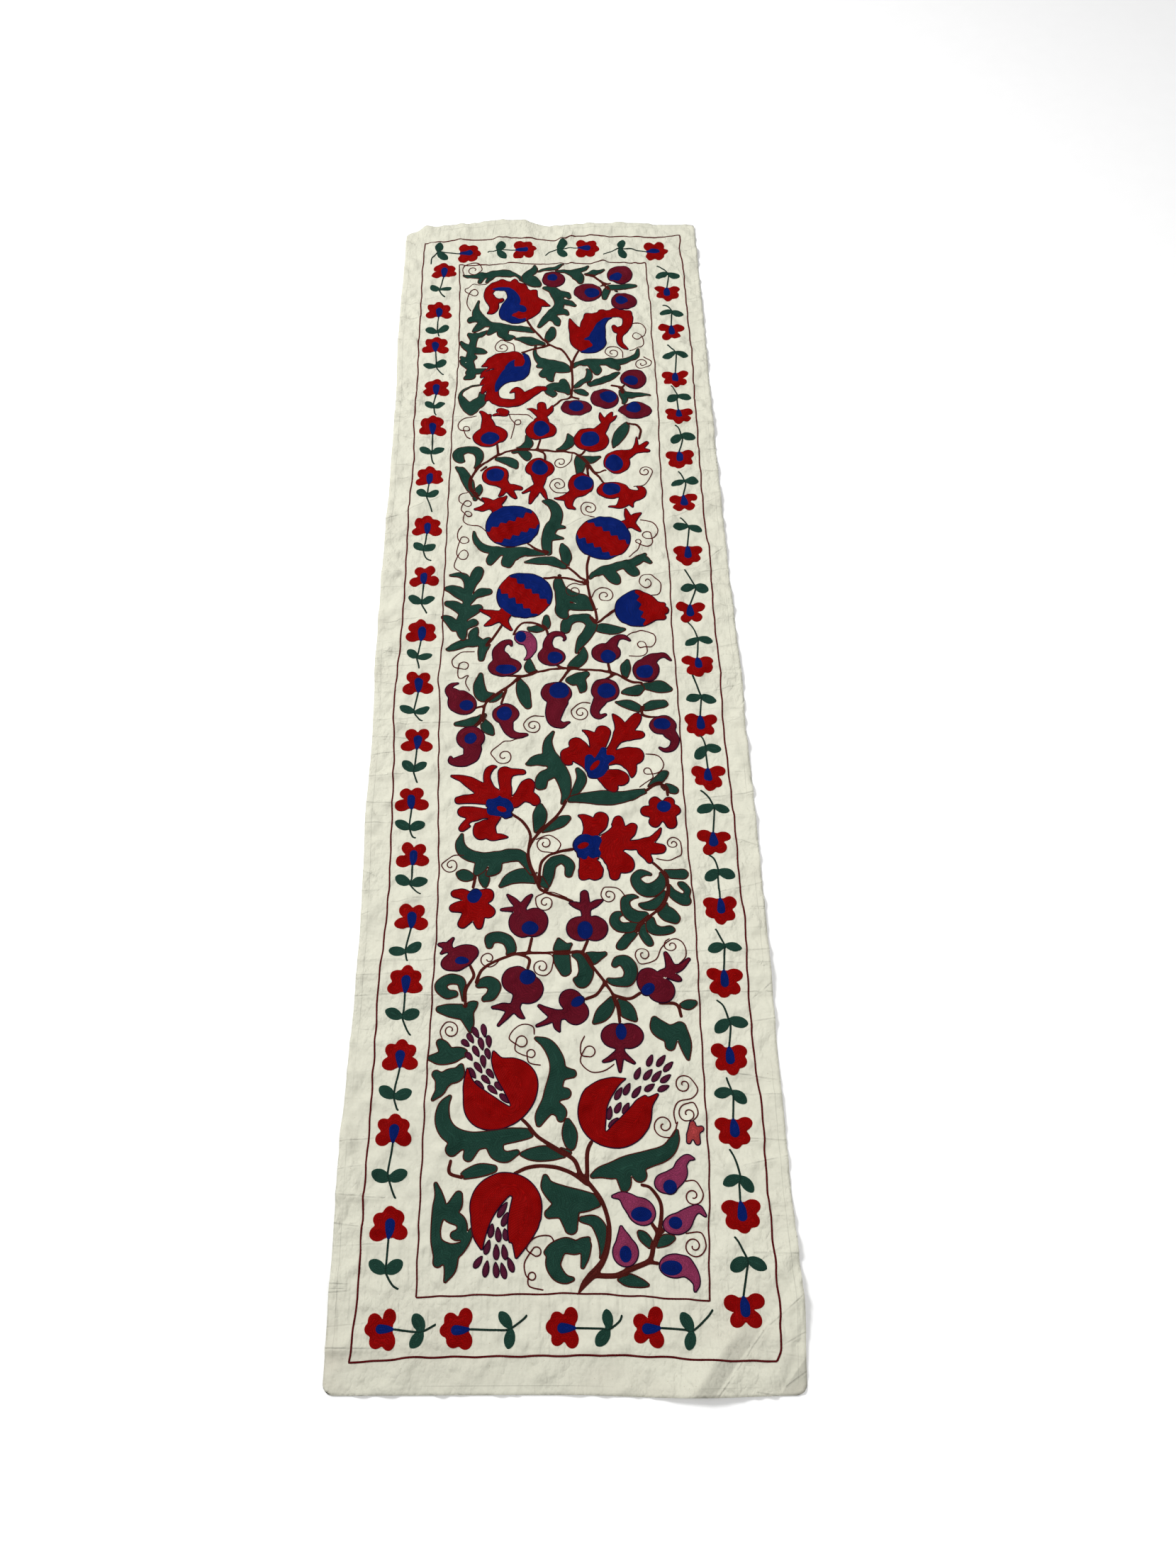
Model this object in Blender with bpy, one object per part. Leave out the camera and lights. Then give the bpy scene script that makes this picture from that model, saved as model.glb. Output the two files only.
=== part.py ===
"""Embroidered cotton runner, laid out on a flat surface.

The cloth is one sheet. Its outline is a slightly uneven rectangle with rounded corners and a
top edge that bows out. It lies flat, apart from three creases across its width where it was
folded for storage, a few slanting creases, a raised fold over one corner and rims that
ripple. The length runs along +Y, the width along +X, and the surface it lies on is Z = 0.
"""

from collections import namedtuple
from math import hypot, pi, sin, sqrt

import bmesh
import bpy

# Driving sizes, in metres
WIDTH = 0.500
LENGTH = 1.800
THICKNESS = 0.0018
CORNER_RADIUS = 0.012

# Faces across the width and along the length
COLUMNS = 25
ROWS = 90

GROUND_COLOUR = (0.760, 0.735, 0.630, 1.0)
GROUND_ROUGHNESS = 0.90

# How far each edge stands out of the plain rectangle: at = place along the edge
EdgePoint = namedtuple("EdgePoint", "at out")

LEFT_EDGE = (
    EdgePoint(-0.900, 0.0020),
    EdgePoint(-0.750, 0.0022),
    EdgePoint(-0.650, 0.0026),
    EdgePoint(-0.560, -0.0006),
    EdgePoint(-0.450, -0.0038),
    EdgePoint(-0.350, -0.0036),
    EdgePoint(-0.230, -0.0005),
    EdgePoint(-0.110, -0.0020),
    EdgePoint(0.020, 0.0010),
    EdgePoint(0.130, 0.0013),
    EdgePoint(0.340, -0.0010),
    EdgePoint(0.500, -0.0016),
    EdgePoint(0.630, 0.0020),
    EdgePoint(0.900, 0.0000),
)
RIGHT_EDGE = (
    EdgePoint(-0.900, 0.0020),
    EdgePoint(-0.810, 0.0066),
    EdgePoint(-0.690, 0.0050),
    EdgePoint(-0.540, 0.0050),
    EdgePoint(-0.400, 0.0065),
    EdgePoint(-0.180, 0.0062),
    EdgePoint(-0.110, 0.0045),
    EdgePoint(-0.050, 0.0063),
    EdgePoint(0.060, 0.0042),
    EdgePoint(0.180, 0.0018),
    EdgePoint(0.400, 0.0005),
    EdgePoint(0.700, 0.0010),
    EdgePoint(0.900, 0.0000),
)
TOP_EDGE = (
    EdgePoint(-0.250, 0.0020),
    EdgePoint(-0.214, 0.0080),
    EdgePoint(-0.150, 0.0138),
    EdgePoint(-0.075, 0.0216),
    EdgePoint(0.005, 0.0120),
    EdgePoint(0.100, 0.0122),
    EdgePoint(0.195, 0.0094),
    EdgePoint(0.250, 0.0080),
)
BOTTOM_EDGE = (
    EdgePoint(-0.250, 0.0008),
    EdgePoint(0.000, 0.0000),
    EdgePoint(0.135, 0.0032),
    EdgePoint(0.250, 0.0005),
)

# Each fold is a low rounded ridge over a straight line on the surface
Fold = namedtuple("Fold", "x0 y0 x1 y1 height half_width")

FOLDS = (
    # Creases across the width, at the quarters of the length
    Fold(-0.270, 0.461, 0.270, 0.443, 0.0046, 0.044),
    Fold(-0.270, 0.002, 0.270, -0.014, 0.0040, 0.042),
    Fold(-0.270, -0.452, 0.270, -0.442, 0.0052, 0.048),
    # Top edge, raised left of the middle and a little to the right
    Fold(-0.195, 0.925, -0.045, 0.935, 0.0085, 0.050),
    Fold(0.050, 0.925, 0.150, 0.920, 0.0046, 0.040),
    # Slanting creases that run in from the long edges
    Fold(-0.270, 0.710, -0.165, 0.745, 0.0034, 0.034),
    Fold(-0.270, 0.240, -0.165, 0.312, 0.0040, 0.034),
    Fold(0.170, 0.250, 0.270, 0.300, 0.0034, 0.034),
    Fold(0.150, 0.148, 0.270, 0.205, 0.0034, 0.034),
    Fold(-0.270, 0.076, -0.165, 0.085, 0.0026, 0.030),
    Fold(-0.270, -0.086, -0.135, -0.092, 0.0030, 0.032),
    Fold(-0.270, -0.360, -0.160, -0.342, 0.0024, 0.030),
    # Raised fold that crosses the lower right corner, and its echo up the edge
    Fold(0.120, -0.925, 0.275, -0.795, 0.0078, 0.042),
    Fold(0.215, -0.795, 0.275, -0.738, 0.0034, 0.030),
)

# Ripple of the two long rims
RIPPLE_HEIGHT = 0.0026
RIPPLE_SPACING = 0.120
RIPPLE_REACH = 0.045
RIGHT_RIM_PHASE = 0.35


def along_table(table, place):
    """Offset at a place along an edge, eased from each table row to the next."""
    if place <= table[0].at:
        return table[0].out
    for low, high in zip(table, table[1:]):
        if place <= high.at:
            t = (place - low.at) / (high.at - low.at)
            ease = t * t * (3.0 - 2.0 * t)
            return low.out + (high.out - low.out) * ease
    return table[-1].out


def outline_point(u, v):
    """Point on the laid cloth for u across and v along, each from -1 to 1."""
    x_plain = u * WIDTH / 2
    y_plain = v * LENGTH / 2
    left = -WIDTH / 2 - along_table(LEFT_EDGE, y_plain)
    right = WIDTH / 2 + along_table(RIGHT_EDGE, y_plain)
    bottom = -LENGTH / 2 - along_table(BOTTOM_EDGE, x_plain)
    top = LENGTH / 2 + along_table(TOP_EDGE, x_plain)
    x = left + (right - left) * (u + 1) / 2
    y = bottom + (top - bottom) * (v + 1) / 2
    return x, y


def rounded_corner(u, v, x, y):
    """Pull the four corner points in along the diagonal, as the turned hem does."""
    if abs(u) < 1 or abs(v) < 1:
        return x, y
    pull = CORNER_RADIUS * (1 - 1 / sqrt(2))
    return x - pull * u, y - pull * v


def crest(t):
    """Rounded ridge: 1 on its line, 0 at its half width and beyond."""
    return (1 - t * t) ** 2 if t < 1 else 0.0


def fold_lift(fold, x, y):
    """Height of one fold over a place on the surface."""
    run_x = fold.x1 - fold.x0
    run_y = fold.y1 - fold.y0
    share = ((x - fold.x0) * run_x + (y - fold.y0) * run_y) / (run_x ** 2 + run_y ** 2)
    share = min(max(share, 0.0), 1.0)
    away = hypot(x - fold.x0 - share * run_x, y - fold.y0 - share * run_y)
    return fold.height * crest(away / fold.half_width)


def rim_lift(u, y):
    """Height of the ripple near the long rims."""
    from_rim = (1 - abs(u)) * WIDTH / 2
    phase = RIGHT_RIM_PHASE if u > 0 else 0.0
    wave = sin(2 * pi * (y / RIPPLE_SPACING + phase))
    return RIPPLE_HEIGHT * max(wave, 0.0) * crest(from_rim / RIPPLE_REACH)


def underside_height(u, x, y):
    """Height of the cloth's underside: 0 wherever it touches the surface."""
    return max([rim_lift(u, y)] + [fold_lift(fold, x, y) for fold in FOLDS])


def outline_middle():
    """Middle of the outline's extent, which becomes the origin."""
    steps = range(-ROWS, ROWS + 1)
    sides = [outline_point(side, step / ROWS) for side in (-1, 1) for step in steps]
    ends = [outline_point(step / ROWS, end) for end in (-1, 1) for step in steps]
    x_values = [x for x, _ in sides]
    y_values = [y for _, y in ends]
    return (min(x_values) + max(x_values)) / 2, (min(y_values) + max(y_values)) / 2


def sheet_mesh(name):
    """Underside of the sheet as a grid of faces."""
    middle_x, middle_y = outline_middle()
    bm = bmesh.new()
    grid = []
    for row in range(ROWS + 1):
        v = 2 * row / ROWS - 1
        line = []
        for column in range(COLUMNS + 1):
            u = 2 * column / COLUMNS - 1
            x, y = outline_point(u, v)
            height = underside_height(u, x, y)
            x, y = rounded_corner(u, v, x, y)
            line.append(bm.verts.new((x - middle_x, y - middle_y, height)))
        grid.append(line)
    for low, high in zip(grid, grid[1:]):
        for column in range(COLUMNS):
            corners = (low[column], low[column + 1], high[column + 1], high[column])
            bm.faces.new(corners)
    mesh = bpy.data.meshes.new(name)
    bm.to_mesh(mesh)
    bm.free()
    return mesh


def cloth_material():
    """Cream cotton ground."""
    material = bpy.data.materials.new("cream_cotton")
    material.use_nodes = True
    shader = material.node_tree.nodes["Principled BSDF"]
    shader.inputs["Base Color"].default_value = GROUND_COLOUR
    shader.inputs["Roughness"].default_value = GROUND_ROUGHNESS
    shader.inputs["Metallic"].default_value = 0.0
    return material


def make_cloth():
    """The runner: its underside, thickened upwards into one solid."""
    cloth = bpy.data.objects.new("suzani_cloth", sheet_mesh("suzani_cloth"))
    bpy.context.scene.collection.objects.link(cloth)
    cloth.data.materials.append(cloth_material())
    solidify = cloth.modifiers.new("thickness", "SOLIDIFY")
    solidify.thickness = THICKNESS
    solidify.offset = 1.0
    solidify.use_rim = True
    return cloth


def main():
    for old in list(bpy.data.objects):
        bpy.data.objects.remove(old, do_unlink=True)
    make_cloth()


main()
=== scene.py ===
from collections import namedtuple
from math import acos, atan2, cos, degrees, hypot, pi, radians, sin

import bpy
import numpy as np
from bpy.props import FloatProperty, FloatVectorProperty, IntProperty, PointerProperty
from mathutils.geometry import delaunay_2d_cdt
from mathutils.kdtree import KDTree
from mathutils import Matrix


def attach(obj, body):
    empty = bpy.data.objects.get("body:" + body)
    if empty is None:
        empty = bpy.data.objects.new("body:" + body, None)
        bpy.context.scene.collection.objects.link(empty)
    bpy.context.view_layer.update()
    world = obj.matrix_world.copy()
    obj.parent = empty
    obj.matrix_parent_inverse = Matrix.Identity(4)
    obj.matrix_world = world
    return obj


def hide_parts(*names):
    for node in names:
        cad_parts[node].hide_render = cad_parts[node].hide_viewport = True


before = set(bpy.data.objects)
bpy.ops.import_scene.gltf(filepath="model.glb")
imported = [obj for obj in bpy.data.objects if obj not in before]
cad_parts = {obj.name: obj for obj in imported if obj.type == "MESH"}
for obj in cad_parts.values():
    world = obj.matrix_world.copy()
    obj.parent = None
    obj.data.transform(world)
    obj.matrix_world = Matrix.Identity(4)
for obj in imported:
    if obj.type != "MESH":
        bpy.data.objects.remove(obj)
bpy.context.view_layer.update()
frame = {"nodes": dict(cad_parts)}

bl_info = {
    "name": "Embroidered Runner",
    "version": (1, 0, 0),
    "blender": (4, 5, 0),
    "location": "3D Viewport > Sidebar > Runner",
    "description": "Makes a laid-out cotton runner with chain-stitched flowers, fruit and leaves",
    "category": "Add Mesh",
}

MM = 0.001
PER_METRE = 1000
BODY = "root"


def number_rows(text):
    """Rows of numbers from a table's text: blanks part the rows and commas the numbers."""
    return [tuple(float(number) for number in row.split(",")) for row in text.split()]


def metre_rows(text):
    """Rows of a table that is in millimetres, as metres."""
    return [tuple(number / PER_METRE for number in row) for row in number_rows(text)]


# ---------------------------------------------------------------------------
# Laid-out shape of the cloth: its outline, folds and rims. Sizes are in metres, but the
# tables are in millimetres.
# ---------------------------------------------------------------------------
WIDTH = 0.500
LENGTH = 1.800
CORNER_RADIUS = 0.012
OUTLINE_STEPS = 90
UV_PASSES = 5

# Place along each edge, and how far the edge stands out of the plain rectangle there
LEFT_EDGE = metre_rows(
    "-900,2 -750,2.2 -650,2.6 -560,-0.6 -450,-3.8 -350,-3.6 -230,-0.5 -110,-2 20,1 130,1.3 340,-1"
    " 500,-1.6 630,2 900,0"
)
RIGHT_EDGE = metre_rows(
    "-900,2 -810,6.6 -690,5 -540,5 -400,6.5 -180,6.2 -110,4.5 -50,6.3 60,4.2 180,1.8 400,0.5 700,1"
    " 900,0"
)
TOP_EDGE = metre_rows("-250,2 -214,8 -150,13.8 -75,21.6 5,12 100,12.2 195,9.4 250,8")
BOTTOM_EDGE = metre_rows("-250,0.8 0,0 135,3.2 250,0.5")

# Each fold is a low rounded ridge over a straight line on the surface
Fold = namedtuple("Fold", "x0 y0 x1 y1 height half_width")

FOLDS = [Fold(*row) for row in metre_rows(
    # Creases across the width, at the quarters of the length
    "-270,461,270,443,4.6,44 -270,2,270,-14,4,42 -270,-452,270,-442,5.2,48"
    # Top edge, raised left of the middle and a little to the right
    " -195,925,-45,935,8.5,50 50,925,150,920,4.6,40"
    # Slanting creases that run in from the long edges
    " -270,710,-165,745,3.4,34 -270,240,-165,312,4,34 170,250,270,300,3.4,34 150,148,270,205,3.4,34"
    " -270,76,-165,85,2.6,30 -270,-86,-135,-92,3,32 -270,-360,-160,-342,2.4,30"
    # Raised fold that crosses the lower right corner, and its echo up the edge
    " 120,-925,275,-795,7.8,42 215,-795,275,-738,3.4,30"
)]

# Fine creases, too narrow for the solid
CREASES = [Fold(*row) for row in metre_rows(
    # Double lines along the three storage creases
    "-270,467,-140,463,1.1,6 -270,457,10,452,1.4,6.5 -80,446,130,440,1.2,6 90,452,170,447,1,6"
    " 130,441,270,443,1.4,6.5 215,469,270,470,1,5.5 -270,-1,-95,2,1.2,6 -270,-16,-225,-13,0.9,5"
    " -165,-26,-110,-22,0.9,5 130,-10,270,-12,1.1,5.5 170,-19,270,-20,0.9,5"
    " -245,-430,-150,-428,1.3,6 -270,-450,-160,-443,1.2,6 -270,-474,60,-471,1.4,6.5"
    " 40,-421,270,-418,1.5,6.5 70,-437,270,-435,1.2,6 130,-470,270,-472,1.3,6"
    # Single creases in from the left edge
    " -270,716,-162,744,1.2,6 -270,246,-170,304,1.6,8 -262,242,-222,228,0.9,4.5"
    " -270,75,-164,85,1.2,5.5 -270,28,-160,30,1,5.5 -270,48,-228,38,0.9,5 -270,-40,-205,-42,1,5.5"
    " -270,-88,-190,-84,1.3,6 -212,-94,-140,-92,1.2,5.5 -270,-228,-222,-230,0.8,5"
    " -270,-340,-226,-335,0.9,5 -214,-353,-160,-344,1,5 -270,-804,-222,-800,1.1,5"
    # Slanting creases in from the right edge and across the field
    " 170,252,250,294,1.4,7 10,242,50,262,1.3,7 105,143,210,163,1.2,6.5 200,155,248,198,1.3,7"
    " 25,676,90,724,1.4,8 170,23,262,28,1,5.5 165,-75,262,-74,0.9,5 236,-88,262,-94,0.9,5"
    " 226,712,250,716,0.9,5 228,756,250,736,1,6"
    # Dip and pleats near the top edge
    " 20,860,26,912,1.6,8 36,874,44,912,1.2,7 -100,886,-92,930,1,7 210,830,226,760,1.2,8"
    # Slanting band over the lower right corner
    " 156,-907,214,-837,2,8 208,-843,256,-806,1.5,8 196,-782,262,-744,1.4,8 232,-892,254,-878,1.4,8"
)]

# Ripple of the two long rims
RIPPLE_HEIGHT = 0.0026
RIPPLE_SPACING = 0.120
RIPPLE_REACH = 0.045
RIGHT_RIM_PHASE = 0.35

# Short puckers that run in from the rims, and the slack between the stitched shapes
PUCKER_SEED = 11
PUCKERS_A_SIDE = 54
PUCKER_JITTER = 0.35
PUCKER_START = 0.256
PUCKER_ENDS = (0.185, 0.236)
PUCKER_SLANT = 0.006
PUCKER_HEIGHTS = (0.0005, 0.0016)
PUCKER_WIDTHS = (0.005, 0.009)
SLACK_WAVES = 46
SLACK_LENGTHS = (0.014, 0.060)
SLACK_HEIGHT = 0.00030
DEEPEST_SLACK = 0.0006
LINE_REACH = 0.0050
HEM_WIDTH = 0.0085
HEM_RISE = 0.0006
HEM_SLOPE = 0.002


def along_table(table, place):
    """Offset at places along an edge, eased from each table row to the next."""
    at, out = np.array(table).T
    row = np.clip(np.searchsorted(at, place) - 1, 0, len(at) - 2)
    t = np.clip((place - at[row]) / (at[row + 1] - at[row]), 0, 1)
    return out[row] + (out[row + 1] - out[row]) * t * t * (3 - 2 * t)


def outline_point(u, v):
    """Places on the laid cloth for u across and v along, each from -1 to 1."""
    x_plain, y_plain = u * WIDTH / 2, v * LENGTH / 2
    left = -WIDTH / 2 - along_table(LEFT_EDGE, y_plain)
    right = WIDTH / 2 + along_table(RIGHT_EDGE, y_plain)
    bottom = -LENGTH / 2 - along_table(BOTTOM_EDGE, x_plain)
    top = LENGTH / 2 + along_table(TOP_EDGE, x_plain)
    return left + (right - left) * (u + 1) / 2, bottom + (top - bottom) * (v + 1) / 2


def outline_middle():
    """Middle of the outline's extent, which is the frame's origin."""
    steps = np.linspace(-1, 1, 2 * OUTLINE_STEPS + 1)
    ends = np.array([-1.0, 1.0])
    x = outline_point(ends[:, None], steps[None, :])[0]
    y = outline_point(steps[None, :], ends[:, None])[1]
    return (x.min() + x.max()) / 2, (y.min() + y.max()) / 2


def cloth_uv(x, y):
    """The u and v of places on the cloth: outline_point the other way round."""
    u, v = 2 * x / WIDTH, 2 * y / LENGTH
    for _ in range(UV_PASSES):
        x_now, y_now = outline_point(u, v)
        u, v = u + 2 * (x - x_now) / WIDTH, v + 2 * (y - y_now) / LENGTH
    return u, v


def crest(t):
    """Rounded ridge: 1 on its line, 0 at its half width and beyond."""
    return np.where(t < 1, (1 - t * t) ** 2, 0.0)


def fold_lift(fold, x, y):
    """Height of one fold over places on the surface."""
    run_x, run_y = fold.x1 - fold.x0, fold.y1 - fold.y0
    share = ((x - fold.x0) * run_x + (y - fold.y0) * run_y) / (run_x ** 2 + run_y ** 2)
    share = np.clip(share, 0, 1)
    away = np.hypot(x - fold.x0 - share * run_x, y - fold.y0 - share * run_y)
    return fold.height * crest(away / fold.half_width)


def rim_lift(u, y):
    """Height of the ripple near the long rims."""
    from_rim = (1 - np.abs(u)) * WIDTH / 2
    phase = np.where(u > 0, RIGHT_RIM_PHASE, 0.0)
    wave = np.sin(2 * pi * (y / RIPPLE_SPACING + phase))
    return RIPPLE_HEIGHT * np.maximum(wave, 0) * crest(from_rim / RIPPLE_REACH)


def underside_height(u, x, y):
    """Height of the cloth's underside: 0 wherever it touches the surface."""
    height = rim_lift(u, y)
    for fold in FOLDS:
        height = np.maximum(height, fold_lift(fold, x, y))
    return height


def rim_puckers():
    """Short creases square to the long rims, at uneven spacing."""
    draw = np.random.default_rng(PUCKER_SEED)
    puckers = []
    for side in (-1, 1):
        for step in range(PUCKERS_A_SIDE):
            jitter = draw.uniform(-PUCKER_JITTER, PUCKER_JITTER)
            y = LENGTH * ((step + jitter) / PUCKERS_A_SIDE - 0.5)
            end = draw.uniform(*PUCKER_ENDS)
            slant = draw.normal(0, PUCKER_SLANT)
            height = draw.uniform(*PUCKER_HEIGHTS)
            wide = draw.uniform(*PUCKER_WIDTHS)
            puckers.append(Fold(side * PUCKER_START, y, side * end, y + slant, height, wide))
    return puckers


def slack(x, y):
    """Soft unevenness of cloth that stitching has drawn up."""
    draw = np.random.default_rng(PUCKER_SEED + 1)
    total = np.zeros_like(x)
    for _ in range(SLACK_WAVES):
        turn = draw.uniform(0, pi)
        length = draw.uniform(*SLACK_LENGTHS)
        phase = draw.uniform(0, 2 * pi)
        total += np.sin(2 * pi * (x * cos(turn) + y * sin(turn)) / length + phase)
    return SLACK_HEIGHT * total


def fine_relief(x, y):
    """Creases, puckers and slack on top of the main folds, and where their lines run: which
    side of the nearest line each place is on, in metres, and how strong that line is there."""
    height, strength = np.zeros_like(x), np.zeros_like(x)
    side = np.full_like(x, LINE_REACH)
    for fold in CREASES + rim_puckers():
        run_x, run_y = fold.x1 - fold.x0, fold.y1 - fold.y0
        near = np.abs(y - (fold.y0 + fold.y1) / 2) < abs(run_y) / 2 + LINE_REACH
        height[near] = np.maximum(height[near], fold_lift(fold, x[near], y[near]))
        lift = fold_lift(fold._replace(half_width=LINE_REACH), x[near], y[near])
        off = (x[near] - fold.x0) * run_y - (y[near] - fold.y0) * run_x
        off /= hypot(run_x, run_y)
        side[near] = np.where(lift > strength[near], off, side[near])
        strength[near] = np.maximum(lift, strength[near])
    return height + slack(x, y), side, strength


# ---------------------------------------------------------------------------
# Sizes and colours that a user would change
# ---------------------------------------------------------------------------
def colour_setting(label, note, default):
    """Colour property."""
    return FloatVectorProperty(
        name=label, description=note, subtype="COLOR", size=3, min=0.0, max=1.0, default=default
    )


def length_setting(label, note, default):
    """Length property, in metres."""
    return FloatProperty(
        name=label, description=note, default=default, min=0.0, unit="LENGTH", precision=5
    )


class RunnerClothSettings(bpy.types.PropertyGroup):
    """Ground cloth."""

    thickness: length_setting("Thickness", "Thickness of the plain cotton", 0.0010)
    columns: IntProperty(
        name="Columns", description="Faces across the width, a multiple of four", default=148
    )
    rows: IntProperty(
        name="Rows", description="Faces along the length, a multiple of four", default=536
    )
    colour: colour_setting("Cotton", "Cream of the plain cotton", (0.616, 0.607, 0.504))


class RunnerStitchSettings(bpy.types.PropertyGroup):
    """Chain stitch, with its threads."""

    row: length_setting("Row", "Distance from one row of stitches to the next", 0.0017)
    link: length_setting("Link", "Length of one stitch", 0.0030)
    crest: length_setting("Crest", "Height of a row above the cloth", 0.00095)
    groove: length_setting("Groove", "Height between two rows", 0.00055)
    red: colour_setting("Red", "Petals and fruit", (0.172, 0.0006, 0.0005))
    blue: colour_setting("Blue", "Flower hearts and bands", (0.0010, 0.0084, 0.0860))
    green: colour_setting("Green", "Leaves", (0.0090, 0.0335, 0.0235))
    brown: colour_setting("Brown", "Stems and leaf edges", (0.0540, 0.0072, 0.0052))
    navy: colour_setting("Navy", "Edges of flowers and fruit", (0.0125, 0.0022, 0.0130))
    purple: colour_setting("Purple", "Buds and small fruit", (0.0820, 0.0036, 0.0100))
    pink: colour_setting("Pink", "Buds of the lower corner", (0.1650, 0.0220, 0.0600))
    seed: colour_setting("Seed", "Seeds", (0.0540, 0.0060, 0.0190))
    coral: colour_setting("Coral", "Small faded flower", (0.2600, 0.0330, 0.0330))
    frame: colour_setting("Frame", "Frame lines and tendrils", (0.0600, 0.0022, 0.0030))
    ink: colour_setting("Ink", "Stems of the border", (0.0060, 0.0180, 0.0130))


class RunnerStageSettings(bpy.types.PropertyGroup):
    """Floor, lights and camera."""

    floor: colour_setting("Floor", "Colour of the floor", (0.96, 0.96, 0.96))
    lens: FloatProperty(name="Lens", description="Camera focal length, mm", default=27.05)
    key: FloatProperty(name="Key light", description="Power of the key light, W", default=92.0)
    fill: FloatProperty(name="Fill light", description="Strength of the sky light", default=0.44)


def settings():
    """The scene's settings for the runner."""
    return bpy.context.scene.runner_cloth, bpy.context.scene.runner_stitch


# ---------------------------------------------------------------------------
# Shader maths
# ---------------------------------------------------------------------------
class Value:
    """A number in a shader. Arithmetic on it adds Math nodes."""

    def __init__(self, maker, socket):
        self.maker = maker
        self.socket = socket

    def math(self, operation, *others, swap=False):
        """Result of a Math node on this value and the others."""
        values = [self, *others]
        if swap:
            values.reverse()
        return self.maker.node("ShaderNodeMath", {"operation": operation}, dict(enumerate(values)))

    def __add__(self, other):
        return self.math("ADD", other)

    def __sub__(self, other):
        return self.math("SUBTRACT", other)

    def __rsub__(self, other):
        return self.math("SUBTRACT", other, swap=True)

    def __mul__(self, other):
        return self.math("MULTIPLY", other)

    def __truediv__(self, other):
        return self.math("DIVIDE", other)

    __radd__ = __add__
    __rmul__ = __mul__

    def part(self):
        """Fractional part."""
        return self.math("FRACT")

    def whole(self):
        """Whole part."""
        return self.math("FLOOR")

    def size(self):
        """Absolute value."""
        return self.math("ABSOLUTE")

    def sine(self):
        """Sine."""
        return self.math("SINE")

    def between(self, low, high):
        """0 at low, 1 at high, eased between them."""
        return self.maker.node(
            "ShaderNodeMapRange",
            {"interpolation_type": "SMOOTHSTEP"},
            {"Value": self, "From Min": low, "From Max": high},
        )


class MaterialMaker:
    """Node tree of one material."""

    def __init__(self, name, roughness):
        self.material = bpy.data.materials.new(name)
        self.material.use_nodes = True
        self.tree = self.material.node_tree
        self.shader = self.tree.nodes["Principled BSDF"]
        self.shader.inputs["Roughness"].default_value = roughness

    def link(self, socket, value):
        """Set a socket to a constant, or link a value or an output to it."""
        if isinstance(value, Value):
            value = value.socket
        if isinstance(value, bpy.types.NodeSocket):
            self.tree.links.new(value, socket)
        else:
            socket.default_value = value

    def node(self, kind, options, sockets, output=0):
        """Add a node with its options set first, then its sockets."""
        node = self.tree.nodes.new(kind)
        for option, setting in options.items():
            setattr(node, option, setting)
        for socket, value in sockets.items():
            self.link(node.inputs[socket], value)
        return Value(self, node.outputs[output])

    def attribute(self, name):
        """A number stored on the mesh."""
        options = {"attribute_type": "GEOMETRY", "attribute_name": name}
        return self.node("ShaderNodeAttribute", options, {}, "Fac")

    def place(self):
        """Place on the object, as X, Y and Z values in metres."""
        where = self.node("ShaderNodeTexCoord", {}, {}, "Object")
        return [self.node("ShaderNodeSeparateXYZ", {}, {0: where}, axis) for axis in range(3)]

    def noise(self, x, y, z=0.0, detail=2.0, roughness=0.5):
        """Soft noise from 0 to 1 at coordinates that are already scaled."""
        at = self.node("ShaderNodeCombineXYZ", {}, {0: x, 1: y, 2: z})
        sockets = {"Vector": at, "Scale": 1.0, "Detail": detail, "Roughness": roughness}
        return self.node("ShaderNodeTexNoise", {"noise_dimensions": "3D"}, sockets)

    def tint(self, colour, tone):
        """A colour made darker or lighter by a number."""
        sockets = {0: colour, "Scale": tone}
        return self.node("ShaderNodeVectorMath", {"operation": "SCALE"}, sockets)

    def mix(self, share, first, second):
        """Mix of two colours."""
        sockets = {0: share, 6: first, 7: second}
        return self.node("ShaderNodeMix", {"data_type": "RGBA"}, sockets, 2)

    def finish(self, colour, height, distance):
        """Join colour and bump height to the shader."""
        self.link(self.shader.inputs["Base Color"], colour)
        sockets = {"Strength": 1.0, "Distance": distance, "Height": height}
        bump = self.node("ShaderNodeBump", {}, sockets)
        self.link(self.shader.inputs["Normal"], bump)
        return self.material


# Looks of the cotton, the thread and the floor
WEAVE_PITCH = 0.00075
COTTON_ROUGHNESS = 0.88
COTTON_SPECULAR = 0.15
COTTON_BUMP = 0.0011
# Duller yellowish grey that the cotton is mixed towards in blotches, most at its near end and along
# its long rims
BLOTCH_COLOUR = (0.50, 0.47, 0.39, 1.0)
SPECKS = (0.30, 0.24, 0.17, 1.0)
# Strength of the painted shade along the hem seam and the fine creases, and of the painted shadow in
# the band and on the tip of the folded lower right corner
SEAM_SHADE = 0.22
LINE_SHADE = 0.11
BAND_SHADE = 0.27
CORNER_SHADE = 0.26
THREAD_ROUGHNESS = 0.60
THREAD_SPECULAR = 0.03
THREAD_BUMP = 0.00045
FLOOR_ROUGHNESS = 0.9
FLOOR_BUMP = 0.0001


def blotching(maker, x, y):
    """How far the cotton is blotched towards a duller yellowish grey: most at its near end and along
    its long rims.
    """
    blotch = maker.noise(x * 3.2, y * 3.2, 7.0, detail=3.0).between(0.55, 0.8)
    patchy = maker.noise(x * 9, y * 20, 5.0, detail=3.0).between(0.42, 0.72)
    near_end = (0.0 - y).between(0.76, 0.90)
    near_rim = x.size().between(0.20, 0.262)
    return (near_end * 0.75 + near_rim * 0.45 + blotch * 0.30) * patchy


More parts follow.
